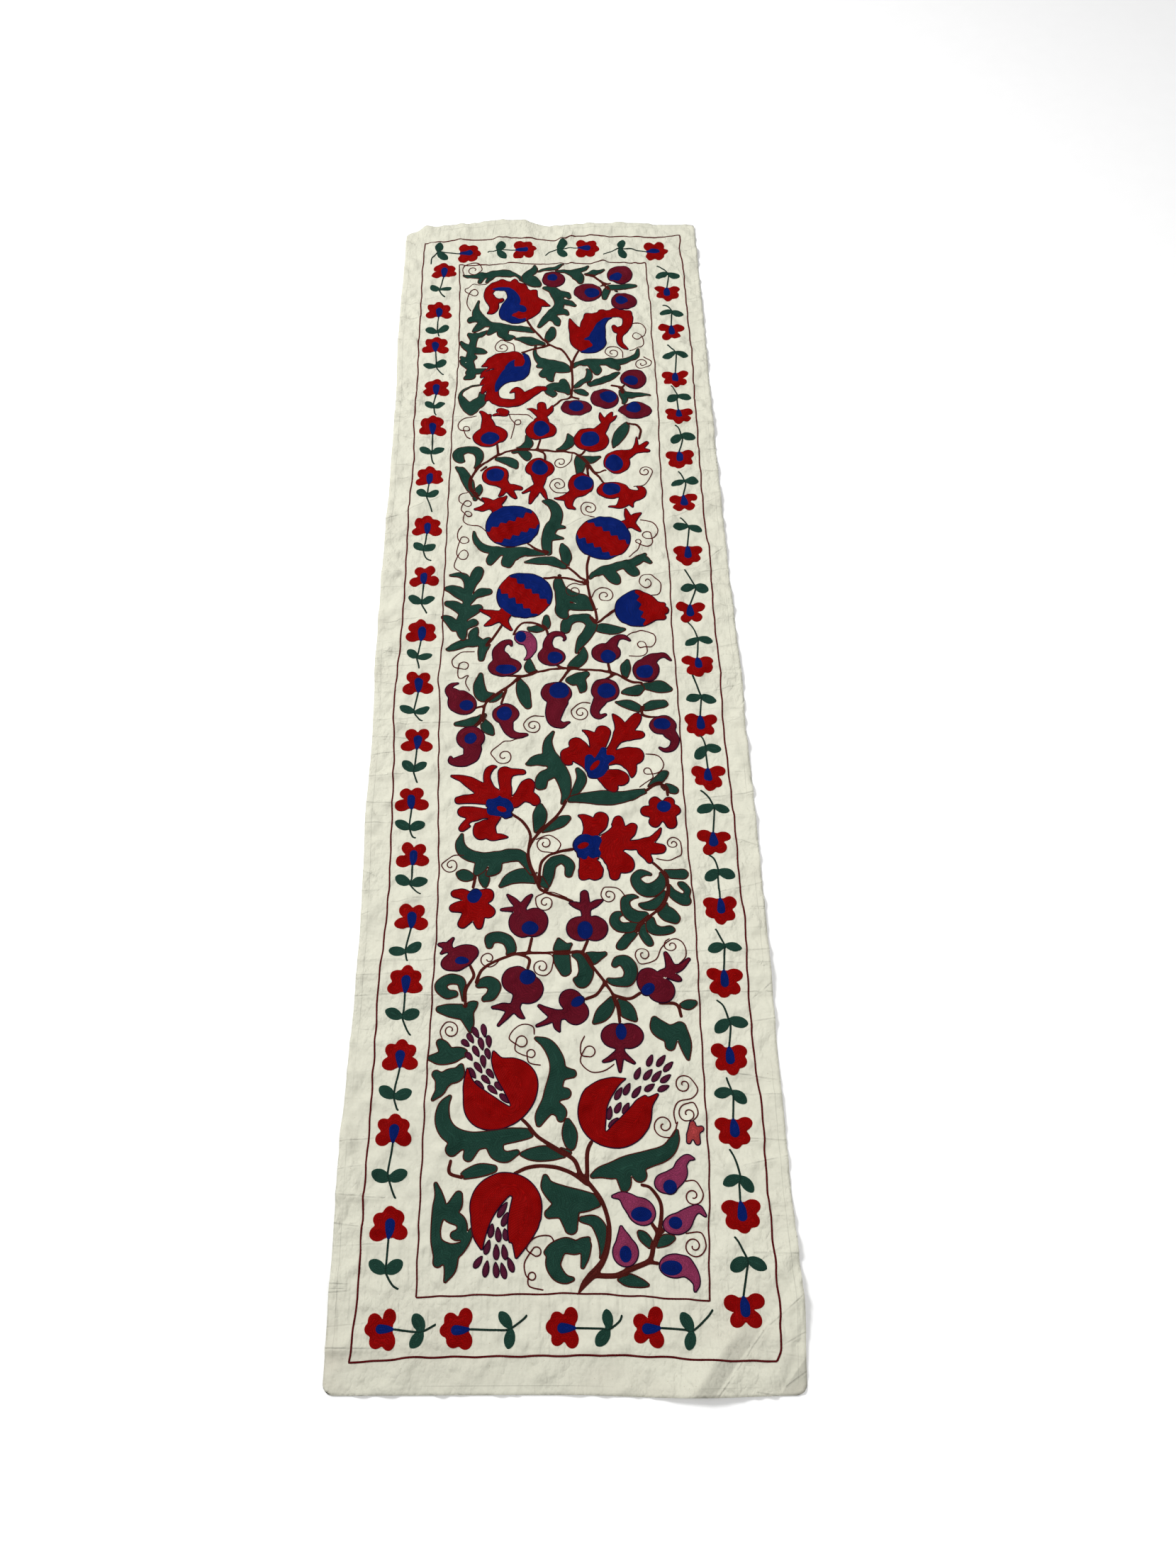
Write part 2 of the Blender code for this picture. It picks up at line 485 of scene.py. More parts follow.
def crease_shade_line(maker, x, y):
    """Thin line along each fine crease, broken here and there: the mask of the painted shade in the
    creases, and of their groove in the bump.
    """
    from_line = (maker.attribute("line_side") * PER_METRE).size()
    strength = maker.attribute("line_strength").between(0.2, 1.2)
    unbroken = maker.noise(x * 60, y * 60, 14.0).between(0.30, 0.55)
    return (1.0 - from_line.between(0.1, 1.6)) * strength * unbroken


def painted_cotton_shade(maker, x, y, line):
    """How much painted shade darkens the cotton: by area where the key light falls off, along the hem
    seam and the fine creases, and as painted shadow at the folded lower right corner.
    """
    # Painted shade that evens out the key light: darker towards the far end and on the left. The
    # cotton is also a little darker across the near end on the left.
    leftward = (0.0 - x).between(-0.24, 0.24)
    painted_area_shade = y.between(-0.45, 0.35) * 0.07 + leftward * 0.06
    painted_area_shade = painted_area_shade + (0.0 - y).between(0.850, 0.885) * leftward * 0.06
    # Painted shadow: a thin dark line along the hem fold, broken here and there.
    seam_shadow = 1.0 - ((maker.attribute("rim") - HEM_WIDTH) * PER_METRE).size().between(0.1, 0.6)
    seam_shadow = seam_shadow * maker.noise(x * 7, y * 7, 8.0).between(0.40, 0.55)
    # Painted shadow of the raised fold: a slanting grey band over the lower right corner.
    over_band = (x - 0.162) * 0.770 - (y + 0.900) * 0.638
    band = over_band.between(-0.020, -0.013) * (1.0 - over_band.between(-0.001, 0.0015))
    band = band * (1.0 - y.between(-0.875, -0.820) * 0.7)
    # Painted shade on the tip of the corner beyond the fold, which faces away from the light.
    corner = ((x - 0.230) * 0.766 - (y + 0.899) * 0.643).between(-0.0005, 0.0015)
    dark = seam_shadow * SEAM_SHADE + line * LINE_SHADE + band * BAND_SHADE + corner * CORNER_SHADE
    return painted_area_shade + dark


def puckering(maker, x, y):
    """Height of the small puckers, crumples and rumples that the stitching draws up."""
    drawn_up = maker.noise(x * 150, y * 16, 3.0, detail=1.0)
    drawn_across = maker.noise(x * 16, y * 130, 6.0, detail=1.0)
    low_band = (0.0 - y).between(0.70, 0.79) * (y + 0.9).between(0.02, 0.05)
    crumple = (maker.noise(x * 26, y * 18, 11.0, detail=3.0) - 0.5).size()
    rumple = (maker.noise(x * 105, y * 75, 17.0, detail=2.0) - 0.5).size()
    rough = maker.noise(x * 9, y * 7, 23.0).between(0.42, 0.62)
    pucker = drawn_up * (0.4 + 1.6 * low_band) + drawn_across * 0.4 + crumple * 7.5
    return pucker + rumple * (1.2 + 2.2 * rough)


def cotton_material():
    """Cream plain-weave cotton, slubbed, specked and blotched, darkened by painted shade, and
    puckered by the stitching.
    """
    cloth, _ = settings()
    maker = MaterialMaker("cream_cotton", COTTON_ROUGHNESS)
    maker.shader.inputs["Specular IOR Level"].default_value = COTTON_SPECULAR
    x, y, _ = maker.place()
    weave = (x * (2 * pi / WEAVE_PITCH)).sine() + (y * (2 * pi / WEAVE_PITCH)).sine()
    slubs = maker.noise(x * 1300, y * 60, detail=1.0) + maker.noise(x * 60, y * 1300, 4.0, detail=1.0)
    mottle = maker.noise(x * 14, y * 14, 2.0, detail=4.0, roughness=0.6)
    speck = maker.noise(x * 420, y * 420, 9.0, detail=0.0).between(0.80, 0.86)
    fleck = maker.noise(x * 330, y * 330, 12.0, detail=2.0)
    line = crease_shade_line(maker, x, y)
    # The tone loses the painted shade: by area, along the hem seam and creases, and at the folded
    # corner.
    tone = 0.85 + 0.02 * slubs + 0.12 * mottle + 0.12 * fleck - painted_cotton_shade(maker, x, y, line)
    blotched = maker.mix(blotching(maker, x, y) * 0.55, maker.tint(tuple(cloth.colour), tone), BLOTCH_COLOUR)
    dotted = maker.mix(speck * 0.35, blotched, SPECKS)
    height = puckering(maker, x, y) - line * 0.5 + weave * 0.012 + (slubs + fleck) * 0.07
    return maker.finish(dotted, height, COTTON_BUMP)


def thread_material(name, colour):
    """Twisted thread worked in chain stitch: rows and links, with painted shade in the grooves
    between them, and small random changes of tone.
    """
    _, stitch = settings()
    maker = MaterialMaker(name, THREAD_ROUGHNESS)
    maker.shader.inputs["Specular IOR Level"].default_value = THREAD_SPECULAR
    row = maker.attribute("row")
    along = maker.attribute("along")
    x, y, _ = maker.place()
    across = row.part()
    on_crest = 1.0 - (across * 2.0 - 1.0).size()
    link = (along / (stitch.link / MM) + row.whole() * 0.37 + on_crest * -0.45).part()
    loop = (link * pi).sine()
    row_shade = maker.node(
        "ShaderNodeTexWhiteNoise", {"noise_dimensions": "1D"}, {"W": row.whole()}
    )
    patch = maker.noise(x * 70, y * 70, detail=2.0)
    fuzz = maker.noise(x * 2400, y * 2400, detail=1.0)
    # Painted shade: the tone is darker in the groove between rows (on_crest) and where one link meets
    # the next (loop). row_shade, patch and fuzz are random changes of tone.
    tone = 0.40 + 0.32 * on_crest + 0.30 * loop + 0.14 * row_shade + 0.36 * patch + 0.20 * fuzz
    height = on_crest * 0.35 + loop * 0.55 + fuzz * 0.25
    return maker.finish(maker.tint(tuple(colour), tone), height, THREAD_BUMP)


def floor_material():
    """Pale matt floor with a faint grain."""
    maker = MaterialMaker("pale_floor", FLOOR_ROUGHNESS)
    x, y, _ = maker.place()
    grain = maker.noise(x * 30, y * 30)
    colour = bpy.context.scene.runner_stage.floor
    return maker.finish(maker.tint(tuple(colour), 0.985 + 0.03 * grain), grain, FLOOR_BUMP)


# ---------------------------------------------------------------------------
# Meshes
# ---------------------------------------------------------------------------
# Fine faces of the top for each coarse one of the underside
COARSE = 4
# Rows between the stitches of two patches, so that their shades differ
PATCH_ROWS = 40.0
# Longest side of a triangle, and the jump in a path's distance where it starts again, both in
# millimetres
LONGEST = 6.0
SURFACE = {}


class ClothSurface:
    """Top of the ground cloth on its grid, which every stitch is laid on."""

    def __init__(self):
        cloth, _ = settings()
        self.columns, self.rows = cloth.columns, cloth.rows
        u, v = np.meshgrid(*(np.linspace(-1, 1, n + 1) for n in (self.columns, self.rows)))
        self.x, self.y = outline_point(u, v)
        self.under = underside_height(u, self.x, self.y)
        rim = np.minimum(1 - np.abs(u), (1 - np.abs(v)) * LENGTH / WIDTH) * WIDTH / 2
        hem = HEM_RISE * (1 - np.clip((rim - HEM_WIDTH) / HEM_SLOPE + 0.5, 0, 1))
        fine, side, strength = fine_relief(self.x, self.y)
        self.marks = {"rim": rim, "line_side": side, "line_strength": strength * PER_METRE}
        self.top = self.under + cloth.thickness + np.maximum(fine, -DEEPEST_SLACK) + hem
        self.shorten_corners(u, v)

    def shorten_corners(self, u, v):
        """Round the corners of the outline, as a turned hem does."""
        in_x = CORNER_RADIUS - (1 - np.abs(u)) * WIDTH / 2
        in_y = CORNER_RADIUS - (1 - np.abs(v)) * LENGTH / 2
        corner = (in_x > 0) & (in_y > 0)
        reach = np.hypot(in_x, in_y) + 1e-9
        scale = np.where(corner, 1 - np.maximum(in_x, in_y) / reach, 0)
        self.x = self.x - np.sign(u) * in_x * scale
        self.y = self.y - np.sign(v) * in_y * scale

    def height(self, x, y):
        """Height of the top at places on the cloth."""
        u, v = cloth_uv(x, y)
        return mixed(self.top, (u + 1) / 2 * self.columns, (v + 1) / 2 * self.rows)


def mixed(values, column, row):
    """Values of a grid at places between its points, by mixing the four around each."""
    column = np.clip(column, 0, values.shape[1] - 1.001)
    row = np.clip(row, 0, values.shape[0] - 1.001)
    i, j = column.astype(int), row.astype(int)
    s, t = column - i, row - j
    low = values[j, i] * (1 - s) + values[j, i + 1] * s
    high = values[j + 1, i] * (1 - s) + values[j + 1, i + 1] * s
    return low * (1 - t) + high * t


def surface():
    """The cloth's surface, worked out once."""
    if "cloth" not in SURFACE:
        SURFACE["cloth"] = ClothSurface()
        SURFACE["middle"] = outline_middle()
    return SURFACE["cloth"]


def add_object(name, data):
    """Object for a mesh, a light or a camera, in the scene."""
    added = bpy.data.objects.new(name, data)
    bpy.context.scene.collection.objects.link(added)
    return added


def link_piece(name, mesh, material):
    """Object for a mesh, smooth, riding on the body."""
    mesh.materials.append(material)
    mesh.shade_smooth()
    piece = add_object(name, mesh)
    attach(piece, BODY)
    return piece


def triangle_mesh(name, points, triangles, numbers):
    """Mesh from arrays of points and triangles, with numbers stored at the triangles' corners."""
    mesh = bpy.data.meshes.new(name)
    mesh.vertices.add(len(points))
    mesh.vertices.foreach_set("co", np.asarray(points, np.float32).ravel())
    mesh.loops.add(3 * len(triangles))
    mesh.loops.foreach_set("vertex_index", np.asarray(triangles, np.int32).ravel())
    mesh.polygons.add(len(triangles))
    mesh.polygons.foreach_set("loop_start", np.arange(0, 3 * len(triangles), 3, dtype=np.int32))
    for label, values in numbers.items():
        stored = mesh.attributes.new(label, "FLOAT", "CORNER")
        stored.data.foreach_set("value", np.asarray(values, np.float32).ravel())
    mesh.update(calc_edges=True)
    mesh.validate()
    return mesh


class Needlework:
    """Stitches of one thread in one group of shapes, which become one mesh."""

    def __init__(self, name, thread):
        _, stitch = settings()
        self.name = name
        self.colour = tuple(getattr(stitch, thread))
        self.places, self.heights, self.rows, self.alongs, self.triangles = [], [], [], [], []
        self.count = 0

    def add(self, places, heights, rows, alongs, triangles):
        """Take in some triangles. Places are on the cloth, in millimetres."""
        self.places.append(places)
        self.heights.append(heights)
        self.rows.append(rows + PATCH_ROWS * len(self.rows))
        self.alongs.append(alongs)
        self.triangles.append(triangles + self.count)
        self.count += len(places)

    def finish(self):
        """Lay the stitches on the cloth as one piece."""
        places = np.concatenate(self.places) * MM
        ground = surface().height(places[:, 0], places[:, 1])
        middle_x, middle_y = SURFACE["middle"]
        points = np.column_stack(
            (places[:, 0] - middle_x, places[:, 1] - middle_y, ground + np.concatenate(self.heights))
        )
        triangles = np.concatenate(self.triangles)
        along = np.concatenate(self.alongs)[triangles]
        jumps = np.ptp(along, axis=1) > LONGEST
        along[jumps] = along[jumps, :1]
        numbers = {"row": np.concatenate(self.rows)[triangles], "along": along}
        mesh = triangle_mesh(self.name, points, triangles, numbers)
        return link_piece(self.name, mesh, thread_material(self.name + "_thread", self.colour))


# ---------------------------------------------------------------------------
# Drawing: curves, shapes on a grid and their contours, in millimetres on the cloth
# ---------------------------------------------------------------------------
GRID_STEP = 0.7
GRID_MARGIN = 7
CANVAS_LOW = np.array((-270.0, -940.0))
CANVAS_SIZE = (2700, 780)
FAR = 1000.0
CURVE_PIECES = 6
# Melting of forms that meet, clearance from earlier stitches, and overlap of layers
BLEND = 2.0
YIELD = 0.3
TUCK = 0.8
# How far the edge of the stitching is sunk into the cloth, in metres
EDGE_SINK = -0.00035
# Shortest loop that is stitched, and the spacing of the points along rims and rows
SMALLEST = 4.0
FINE_SPACING = 0.5
RIM_SPACING = 1.5
CONTOUR_SPACING = 2.1
# Rise over a groove, in half rows, above which a flat strip gets a row along its middle
MIDDLE_RISE = 0.1
# Depth below which a point belongs to the rim. A triangle with a side over LONG_SIDE has to
# have its middle SLIVER inside the rim, a smaller one may have it SLIVER outside.
NEAR_RIM = 0.3
SLIVER = 0.15
LONG_SIDE = 2.5
# One row of stitches: the heights across it, as shares of a crest between its sunk edges
CORD_SPACING = 1.6
CORD_CRESTS = (0.88, 1.12, 0.88)
ALMOST_ONE = 0.999
# Steps across the blue part of a banded fruit
BAND_STEP = 14.0
BAND_DEPTH = 6.5


def curve(points, pieces=CURVE_PIECES):
    """Smooth curve through points of any number of columns."""
    points = np.asarray(points, float)
    if len(points) < 3:
        return points
    ends = np.vstack((2 * points[0] - points[1], points, 2 * points[-1] - points[-2]))
    t = np.linspace(0, 1, pieces, endpoint=False)[:, None]
    runs = []
    for a, b, c, d in zip(ends, ends[1:], ends[2:], ends[3:]):
        runs.append(
            0.5 * (2 * b + (c - a) * t + (2 * a - 5 * b + 4 * c - d) * t ** 2
                   + (3 * b - a - 3 * c + d) * t ** 3)
        )
    return np.vstack(runs + [points[-1:]])


def lengths_along(path):
    """Distance from the path's start to each of its points."""
    steps = np.hypot(*np.diff(path[:, :2], axis=0).T)
    return np.concatenate(([0.0], np.cumsum(steps)))


def even_steps(path, spacing, closed=False):
    """The path as points at even distances."""
    if closed:
        path = np.vstack((path, path[:1]))
    along = lengths_along(path)
    count = max(int(round(along[-1] / spacing)), 4 if closed else 2)
    places = np.linspace(0, along[-1], count + 1)
    even = np.column_stack([np.interp(places, along, column) for column in path.T])
    return even[:-1] if closed else even


class Grid:
    """Window of the canvas around some shapes."""

    def __init__(self, low, high):
        first = np.floor((low - CANVAS_LOW) / GRID_STEP).astype(int) - GRID_MARGIN
        last = np.ceil((high - CANVAS_LOW) / GRID_STEP).astype(int) + GRID_MARGIN
        self.low = CANVAS_LOW + first * GRID_STEP
        self.window = (slice(first[1], last[1]), slice(first[0], last[0]))
        across = self.low[0] + np.arange(last[0] - first[0]) * GRID_STEP
        up = self.low[1] + np.arange(last[1] - first[1]) * GRID_STEP
        self.x, self.y = np.meshgrid(across, up)

    def part(self, low, high):
        """Window of this grid over a smaller area."""
        first = np.maximum(((low - self.low) / GRID_STEP).astype(int) - GRID_MARGIN, 0)
        last = ((high - self.low) / GRID_STEP).astype(int) + GRID_MARGIN + 2
        return slice(first[1], last[1]), slice(first[0], last[0])

    def at(self, values, places):
        """Values at places, for an array of values at the grid's points."""
        return mixed(values, *((places - self.low) / GRID_STEP).T)


Oval = namedtuple("Oval", "x y rx ry turn", defaults=(0.0,))
Cap = namedtuple("Cap", "oval aim offset")


def stroke_depth(stroke, x, y):
    """Distance outside a stroke that swells and tapers; below 0 inside it."""
    path = curve(stroke)
    best = np.full(x.shape, FAR)
    for (ax, ay, ar), (bx, by, br) in zip(path, path[1:]):
        run_x, run_y = bx - ax, by - ay
        length_sq = run_x ** 2 + run_y ** 2 + 1e-9
        share = np.clip(((x - ax) * run_x + (y - ay) * run_y) / length_sq, 0, 1)
        away = np.hypot(x - ax - share * run_x, y - ay - share * run_y)
        best = np.minimum(best, away - ar - share * (br - ar))
    return best


def oval_depth(oval, x, y):
    """Distance outside an oval, about right near its edge."""
    turn = radians(oval.turn)
    along = (x - oval.x) * cos(turn) + (y - oval.y) * sin(turn)
    over = (y - oval.y) * cos(turn) - (x - oval.x) * sin(turn)
    reach = np.hypot(along / oval.rx, over / oval.ry)
    slope = np.hypot(along / oval.rx ** 2, over / oval.ry ** 2) + 1e-6
    return (reach - 1) * np.maximum(reach, 0.2) / slope


def cap_depth(cap, x, y):
    """Distance outside the part of an oval beyond a stepped line that faces aim."""
    c, s = cos(radians(cap.aim)), sin(radians(cap.aim))
    ahead = (x - cap.oval.x) * c + (y - cap.oval.y) * s
    over = (y - cap.oval.y) * c - (x - cap.oval.x) * s
    step = np.abs((over / BAND_STEP) % 1 * 2 - 1)
    line = cap.offset + BAND_DEPTH * (step - 0.5)
    return np.maximum(oval_depth(cap.oval, x, y), line - ahead)


DEPTHS = {Oval: oval_depth, Cap: cap_depth}


def reach_of(item):
    """Lowest and highest corner of a stroke, oval or cap."""
    oval = item.oval if isinstance(item, Cap) else item
    if isinstance(oval, Oval):
        reach = max(oval.rx, oval.ry)
        middle = np.array((oval.x, oval.y))
        return middle - reach, middle + reach
    path = curve(item)
    return (path[:, :2] - path[:, 2:]).min(0), (path[:, :2] + path[:, 2:]).max(0)


def shape_depth(shape, grid):
    """Distance outside a shape made of strokes and ovals, melted where they meet."""
    total = np.full(grid.x.shape, FAR)
    for item in shape:
        window = grid.part(*reach_of(item))
        depth = DEPTHS.get(type(item), stroke_depth)(item, grid.x[window], grid.y[window])
        near = np.clip(1 - np.abs(total[window] - depth) / BLEND, 0, 1)
        total[window] = np.minimum(total[window], depth) - near * near * BLEND / 4
    return total


def shape_reach(shapes):
    """Lowest and highest corner of some shapes."""
    corners = [reach_of(item) for shape in shapes for item in shape]
    return np.min([low for low, _ in corners], 0), np.max([high for _, high in corners], 0)


# Sides of a grid cell that a contour joins, for each pattern of corners inside it
CELL_JOINS = {
    1: (("low", "left"),), 2: (("right", "low"),), 3: (("right", "left"),),
    4: (("high", "right"),), 5: (("low", "left"), ("high", "right")), 6: (("high", "low"),),
    7: (("high", "left"),), 8: (("left", "high"),), 9: (("low", "high"),),
    10: (("right", "low"), ("left", "high")), 11: (("right", "high"),),
    12: (("left", "right"),), 13: (("low", "right"),), 14: (("left", "low"),),
}


def contours(values, level, grid):
    """Closed loops where the grid's values cross a level, with lower values on the left. Loops
    too small to stitch are left out."""
    inside = values < level
    tall, wide = values.shape
    pattern = (
        inside[:-1, :-1] + 2 * inside[:-1, 1:] + 4 * inside[1:, 1:] + 8 * inside[1:, :-1]
    )
    rows, columns = np.nonzero((pattern > 0) & (pattern < 15))
    if not len(rows):
        return []
    offset = tall * wide
    sides = {
        "low": rows * wide + columns,
        "high": (rows + 1) * wide + columns,
        "left": offset + rows * wide + columns,
        "right": offset + rows * wide + columns + 1,
    }
    kinds = pattern[rows, columns]
    follow = {}
    for kind, joins in CELL_JOINS.items():
        chosen = kinds == kind
        for start, end in joins:
            follow.update(zip(sides[start][chosen].tolist(), sides[end][chosen].tolist()))
    return trace_loops(values, level, grid, follow)


def trace_loops(values, level, grid, follow):
    """Follow the joins from side to side into closed loops of places."""
    tall, wide = values.shape
    flat = values.ravel()
    loops = []
    while follow:
        first = side = next(iter(follow))
        chain = []
        while side in follow:
            chain.append(side)
            side = follow.pop(side)
        if side != first or len(chain) < 4:
            continue
        chain = np.array(chain)
        upright = chain >= tall * wide
        start = chain - tall * wide * upright
        end = start + np.where(upright, wide, 1)
        share = np.clip((level - flat[start]) / (flat[end] - flat[start] + 1e-12), 0, 1)
        column, row = start % wide, start // wide
        across = (column + np.where(upright, 0, share)) * GRID_STEP + grid.low[0]
        up = (row + np.where(upright, share, 0)) * GRID_STEP + grid.low[1]
        loop = np.column_stack((across, up))
        loop = (np.roll(loop, 1, 0) + 2 * loop + np.roll(loop, -1, 0)) / 4
        if lengths_along(loop)[-1] > SMALLEST:
            loops.append(loop)
    return loops


def nearest(places, rim):
    """Distance from each place to the nearest point of the rim, and which point that is."""
    tree = KDTree(len(rim))
    for k, (x, y) in enumerate(rim.tolist()):
        tree.insert((x, y, 0), k)
    tree.balance()
    found = [tree.find((x, y, 0))[1:] for x, y in places.tolist()]
    index, distance = np.array(found).T
    return distance, index.astype(int)


def row_height(steps):
    """Height at each half row inwards from the edge: a crest, a groove, a crest and so on."""
    _, stitch = settings()
    height = np.where(steps % 2 == 1, stitch.crest, stitch.groove)
    return np.where(steps == 0, EDGE_SINK, height)


def triangulated(places, steps, edges, grid, region):
    """Triangles over a region, with the place and the row step of each of their points."""
    made = delaunay_2d_cdt(places, edges, [], 1, 1e-5, True)
    points = np.array([tuple(point) for point in made[0]])
    steps = np.array([steps[source[0]] if source else 1 for source in made[3]])
    triangles = np.array(made[2], int)
    steps[grid.at(region, points) > -NEAR_RIM] = 0
    corners = points[triangles]
    longest = np.hypot(*(corners - np.roll(corners, 1, 1)).transpose(2, 0, 1)).max(1)
    limit = np.where(longest > LONG_SIDE, -SLIVER, SLIVER)
    inside = grid.at(region, corners.mean(1)) < limit
    return points, steps, triangles[inside & (longest < LONGEST)]


def middle_rows(places, steps, edges, grid, region, rise):
    """Places along the middle of flat strips between two grooves, for one more row."""
    points, steps, triangles = triangulated(places, steps, edges, grid, region)
    pairs = np.sort(triangles[:, ((0, 1), (1, 2), (2, 0))].reshape(-1, 2), 1)
    pairs = np.unique(pairs, axis=0)
    drawn_edges = {tuple(sorted(edge)) for edge in edges}
    free = np.array([tuple(pair) not in drawn_edges for pair in pairs.tolist()])
    level = steps[pairs]
    flat = free & (level[:, 0] == level[:, 1]) & (level[:, 0] % 2 == 0)
    middles = points[pairs].mean(1)
    flat &= grid.at(rise, middles) > level[:, 0] + MIDDLE_RISE
    return middles[flat].tolist(), (level[flat, 0] + 1).tolist()


def fill_region(work, grid, region):
    """Fill a region with rows of stitches that follow its edge."""
    _, stitch = settings()
    half_row = stitch.row / MM / 2
    rims = contours(region, 0.0, grid)
    if not rims:
        return
    fine_rims = [even_steps(loop, FINE_SPACING, True) for loop in rims]
    fine_along = np.concatenate([np.arange(len(loop)) * FINE_SPACING for loop in fine_rims])
    fine_rim = np.vstack(fine_rims)
    inside = region < 0
    rise = np.zeros(region.shape)
    rise[inside] = nearest(np.column_stack((grid.x[inside], grid.y[inside])), fine_rim)[0]
    rise /= half_row
    loops = [(0, even_steps(loop, RIM_SPACING, True)) for loop in rims]
    for step in range(1, int(rise.max()) + 1):
        for loop in contours(-rise, -step, grid):
            loops.append((step, even_steps(loop, CONTOUR_SPACING, True)))
    places, steps, edges = [], [], []
    for step, loop in loops:
        first, count = len(places), len(loop)
        places += loop.tolist()
        steps += [step] * count
        edges += [(first + k, first + (k + 1) % count) for k in range(count)]
    more_places, more_steps = middle_rows(places, steps, edges, grid, region, rise)
    points, steps, triangles = triangulated(
        places + more_places, steps + more_steps, edges, grid, region
    )
    index = nearest(points, fine_rim)[1]
    work.add(points, row_height(steps), steps / 2, fine_along[index], triangles)


def lay_cord(work, path, width, closed=False):
    """Lay one row of stitches along a path."""
    _, stitch = settings()
    path = even_steps(np.asarray(path, float), CORD_SPACING, closed)
    ahead = np.roll(path, -1, 0) - np.roll(path, 1, 0)
    if not closed:
        ahead[0] = path[1] - path[0]
        ahead[-1] = path[-1] - path[-2]
    ahead = ahead / (np.hypot(ahead[:, 0], ahead[:, 1])[:, None] + 1e-9)
    side = np.column_stack((-ahead[:, 1], ahead[:, 0]))
    profile = [EDGE_SINK] + [stitch.crest * share for share in CORD_CRESTS] + [EDGE_SINK]
    count, lanes = len(path), len(profile)
    across = np.linspace(-1, 1, lanes) * width / 2
    places = path[:, None, :] + side[:, None, :] * across[None, :, None]
    heights = np.tile(profile, (count, 1))
    if not closed:
        heights[[0, -1]] = EDGE_SINK
    rows = np.tile(np.linspace(0, 1, lanes) * ALMOST_ONE, count)
    along = np.repeat(np.arange(count) * CORD_SPACING, lanes)
    first = np.arange(count if closed else count - 1)
    lane = np.arange(lanes - 1)
    a = (first[:, None] * lanes + lane).ravel()
    b = ((first[:, None] + 1) % count * lanes + lane).ravel()
    triangles = np.vstack((np.column_stack((a, b, b + 1)), np.column_stack((a, b + 1, a + 1))))
    work.add(places.reshape(-1, 2), heights.ravel(), rows, along, triangles)


def stitch_motif(layers, edge=None, edge_width=0.0, bare=()):
    """Fill the layers of one motif, the last on top, and edge its whole outline."""
    grid = Grid(*shape_reach([shape for _, shape in layers]))
    taken = canvas()[grid.window]
    gap = -shape_depth(bare, grid)
    limit = np.maximum(YIELD - taken, gap)
    covered = np.full(grid.x.shape, FAR)
    for work, shape in reversed(layers):
        depth = shape_depth(shape, grid)
        fill_region(work, grid, np.maximum(np.maximum(depth, -covered - TUCK), limit))
        covered = np.minimum(covered, depth)
    if edge is not None:
        for loop in contours(np.maximum(covered, limit), 0.0, grid):
            lay_cord(edge, loop, edge_width, closed=True)
    canvas()[grid.window] = np.minimum(taken, np.maximum(covered, gap))


def canvas():
    """Distance outside everything that is stitched so far, on one grid over the cloth."""
    if "canvas" not in SURFACE:
        SURFACE["canvas"] = np.full(CANVAS_SIZE, FAR)
    return SURFACE["canvas"]


def placed(shape, x, y, aim, size=1.0):
    """A shape drawn about 0, 0 facing +X, turned to face aim and moved to x, y."""
    c, s = cos(radians(aim)) * size, sin(radians(aim)) * size
    result = []
    for item in shape:
        if isinstance(item, Oval):
            result.append(Oval(
                x + c * item.x - s * item.y, y + s * item.x + c * item.y,
                item.rx * size, item.ry * size, item.turn + aim,
            ))
        else:
            result.append(tuple(
                (x + c * px - s * py, y + s * px + c * py, r * size) for px, py, r in item
            ))
    return result


def turned(x, y, aim, ahead, over):
    """Place that lies ahead of and to the left of x, y when facing aim."""
    c, s = cos(radians(aim)), sin(radians(aim))
    return x + c * ahead - s * over, y + s * ahead + c * over


# ---------------------------------------------------------------------------
# The design, in millimetres on the cloth from its middle. In the tables, a point of a stroke
# is x,y,half width, a single x,y,rx,ry or x,y,rx,ry,turn is an oval, / parts the strokes, and
# what follows ! is left bare. A bar parts a flower's or fruit's thread, its body, the heart
# over it, the eye over the heart, and what is left bare.
# ---------------------------------------------------------------------------
OUTER_LINE = (
    "-217,874 -187,877 -168,882 -105,881 -65,885 -25,880 5,875 22,875 40,886 75,885 112,881 125,884"
    " 135,880 195,876 224,881 / 224,881 224,870 221,838 225,810 225,700 227,600 225,500 224,330"
    " 223,260 227,185 225,90 227,0 225,-110 227,-180 229,-270 228,-330 231,-385 227,-450 227,-550"
    " 231,-610 229,-690 230,-760 230,-820 227,-862 222,-869 / 222,-869 205,-869 150,-868 110,-865"
    " 50,-863 -50,-864 -160,-865 -205,-869 -226,-870 / -226,-870 -225,-864 -221,-800 -221,-700"
    " -219,-590 -219,-470 -213,-340 -216,-180 -218,-115 -222,-60 -218,20 -216,110 -217,200 -217,300"
    " -214,380 -217,450 -216,560 -218,640 -217,720 -219,800 -217,874"
)
INNER_LINE = (
    "-156,817 -125,816 -70,819 -30,818 0,814 35,817 75,815 98,818 125,815 162,812 / 162,812 162,806"
    " 163,760 166,690 164,640 166,570 167,500 164,390 164,300 163,250 167,160 165,60 166,-20"
    " 167,-80 166,-200 167,-300 170,-370 168,-450 167,-560 166,-680 161,-740 157,-811 / 157,-811"
    " 125,-809 80,-806 20,-803 -40,-804 -105,-805 -158,-807 / -158,-807 -158,-700 -157,-600"
    " -154,-510 -151,-400 -151,-310 -155,-220 -158,-110 -158,-60 -162,-25 -158,40 -160,110 -159,220"
    " -158,330 -157,440 -154,505 -151,580 -152,690 -153,750 -156,817"
)

# Border sprigs: x and y of the flower's head, its leaf pair's middle and its stem's end
Sprig = namedtuple("Sprig", "head_x head_y leaf_x leaf_y tail_x tail_y")

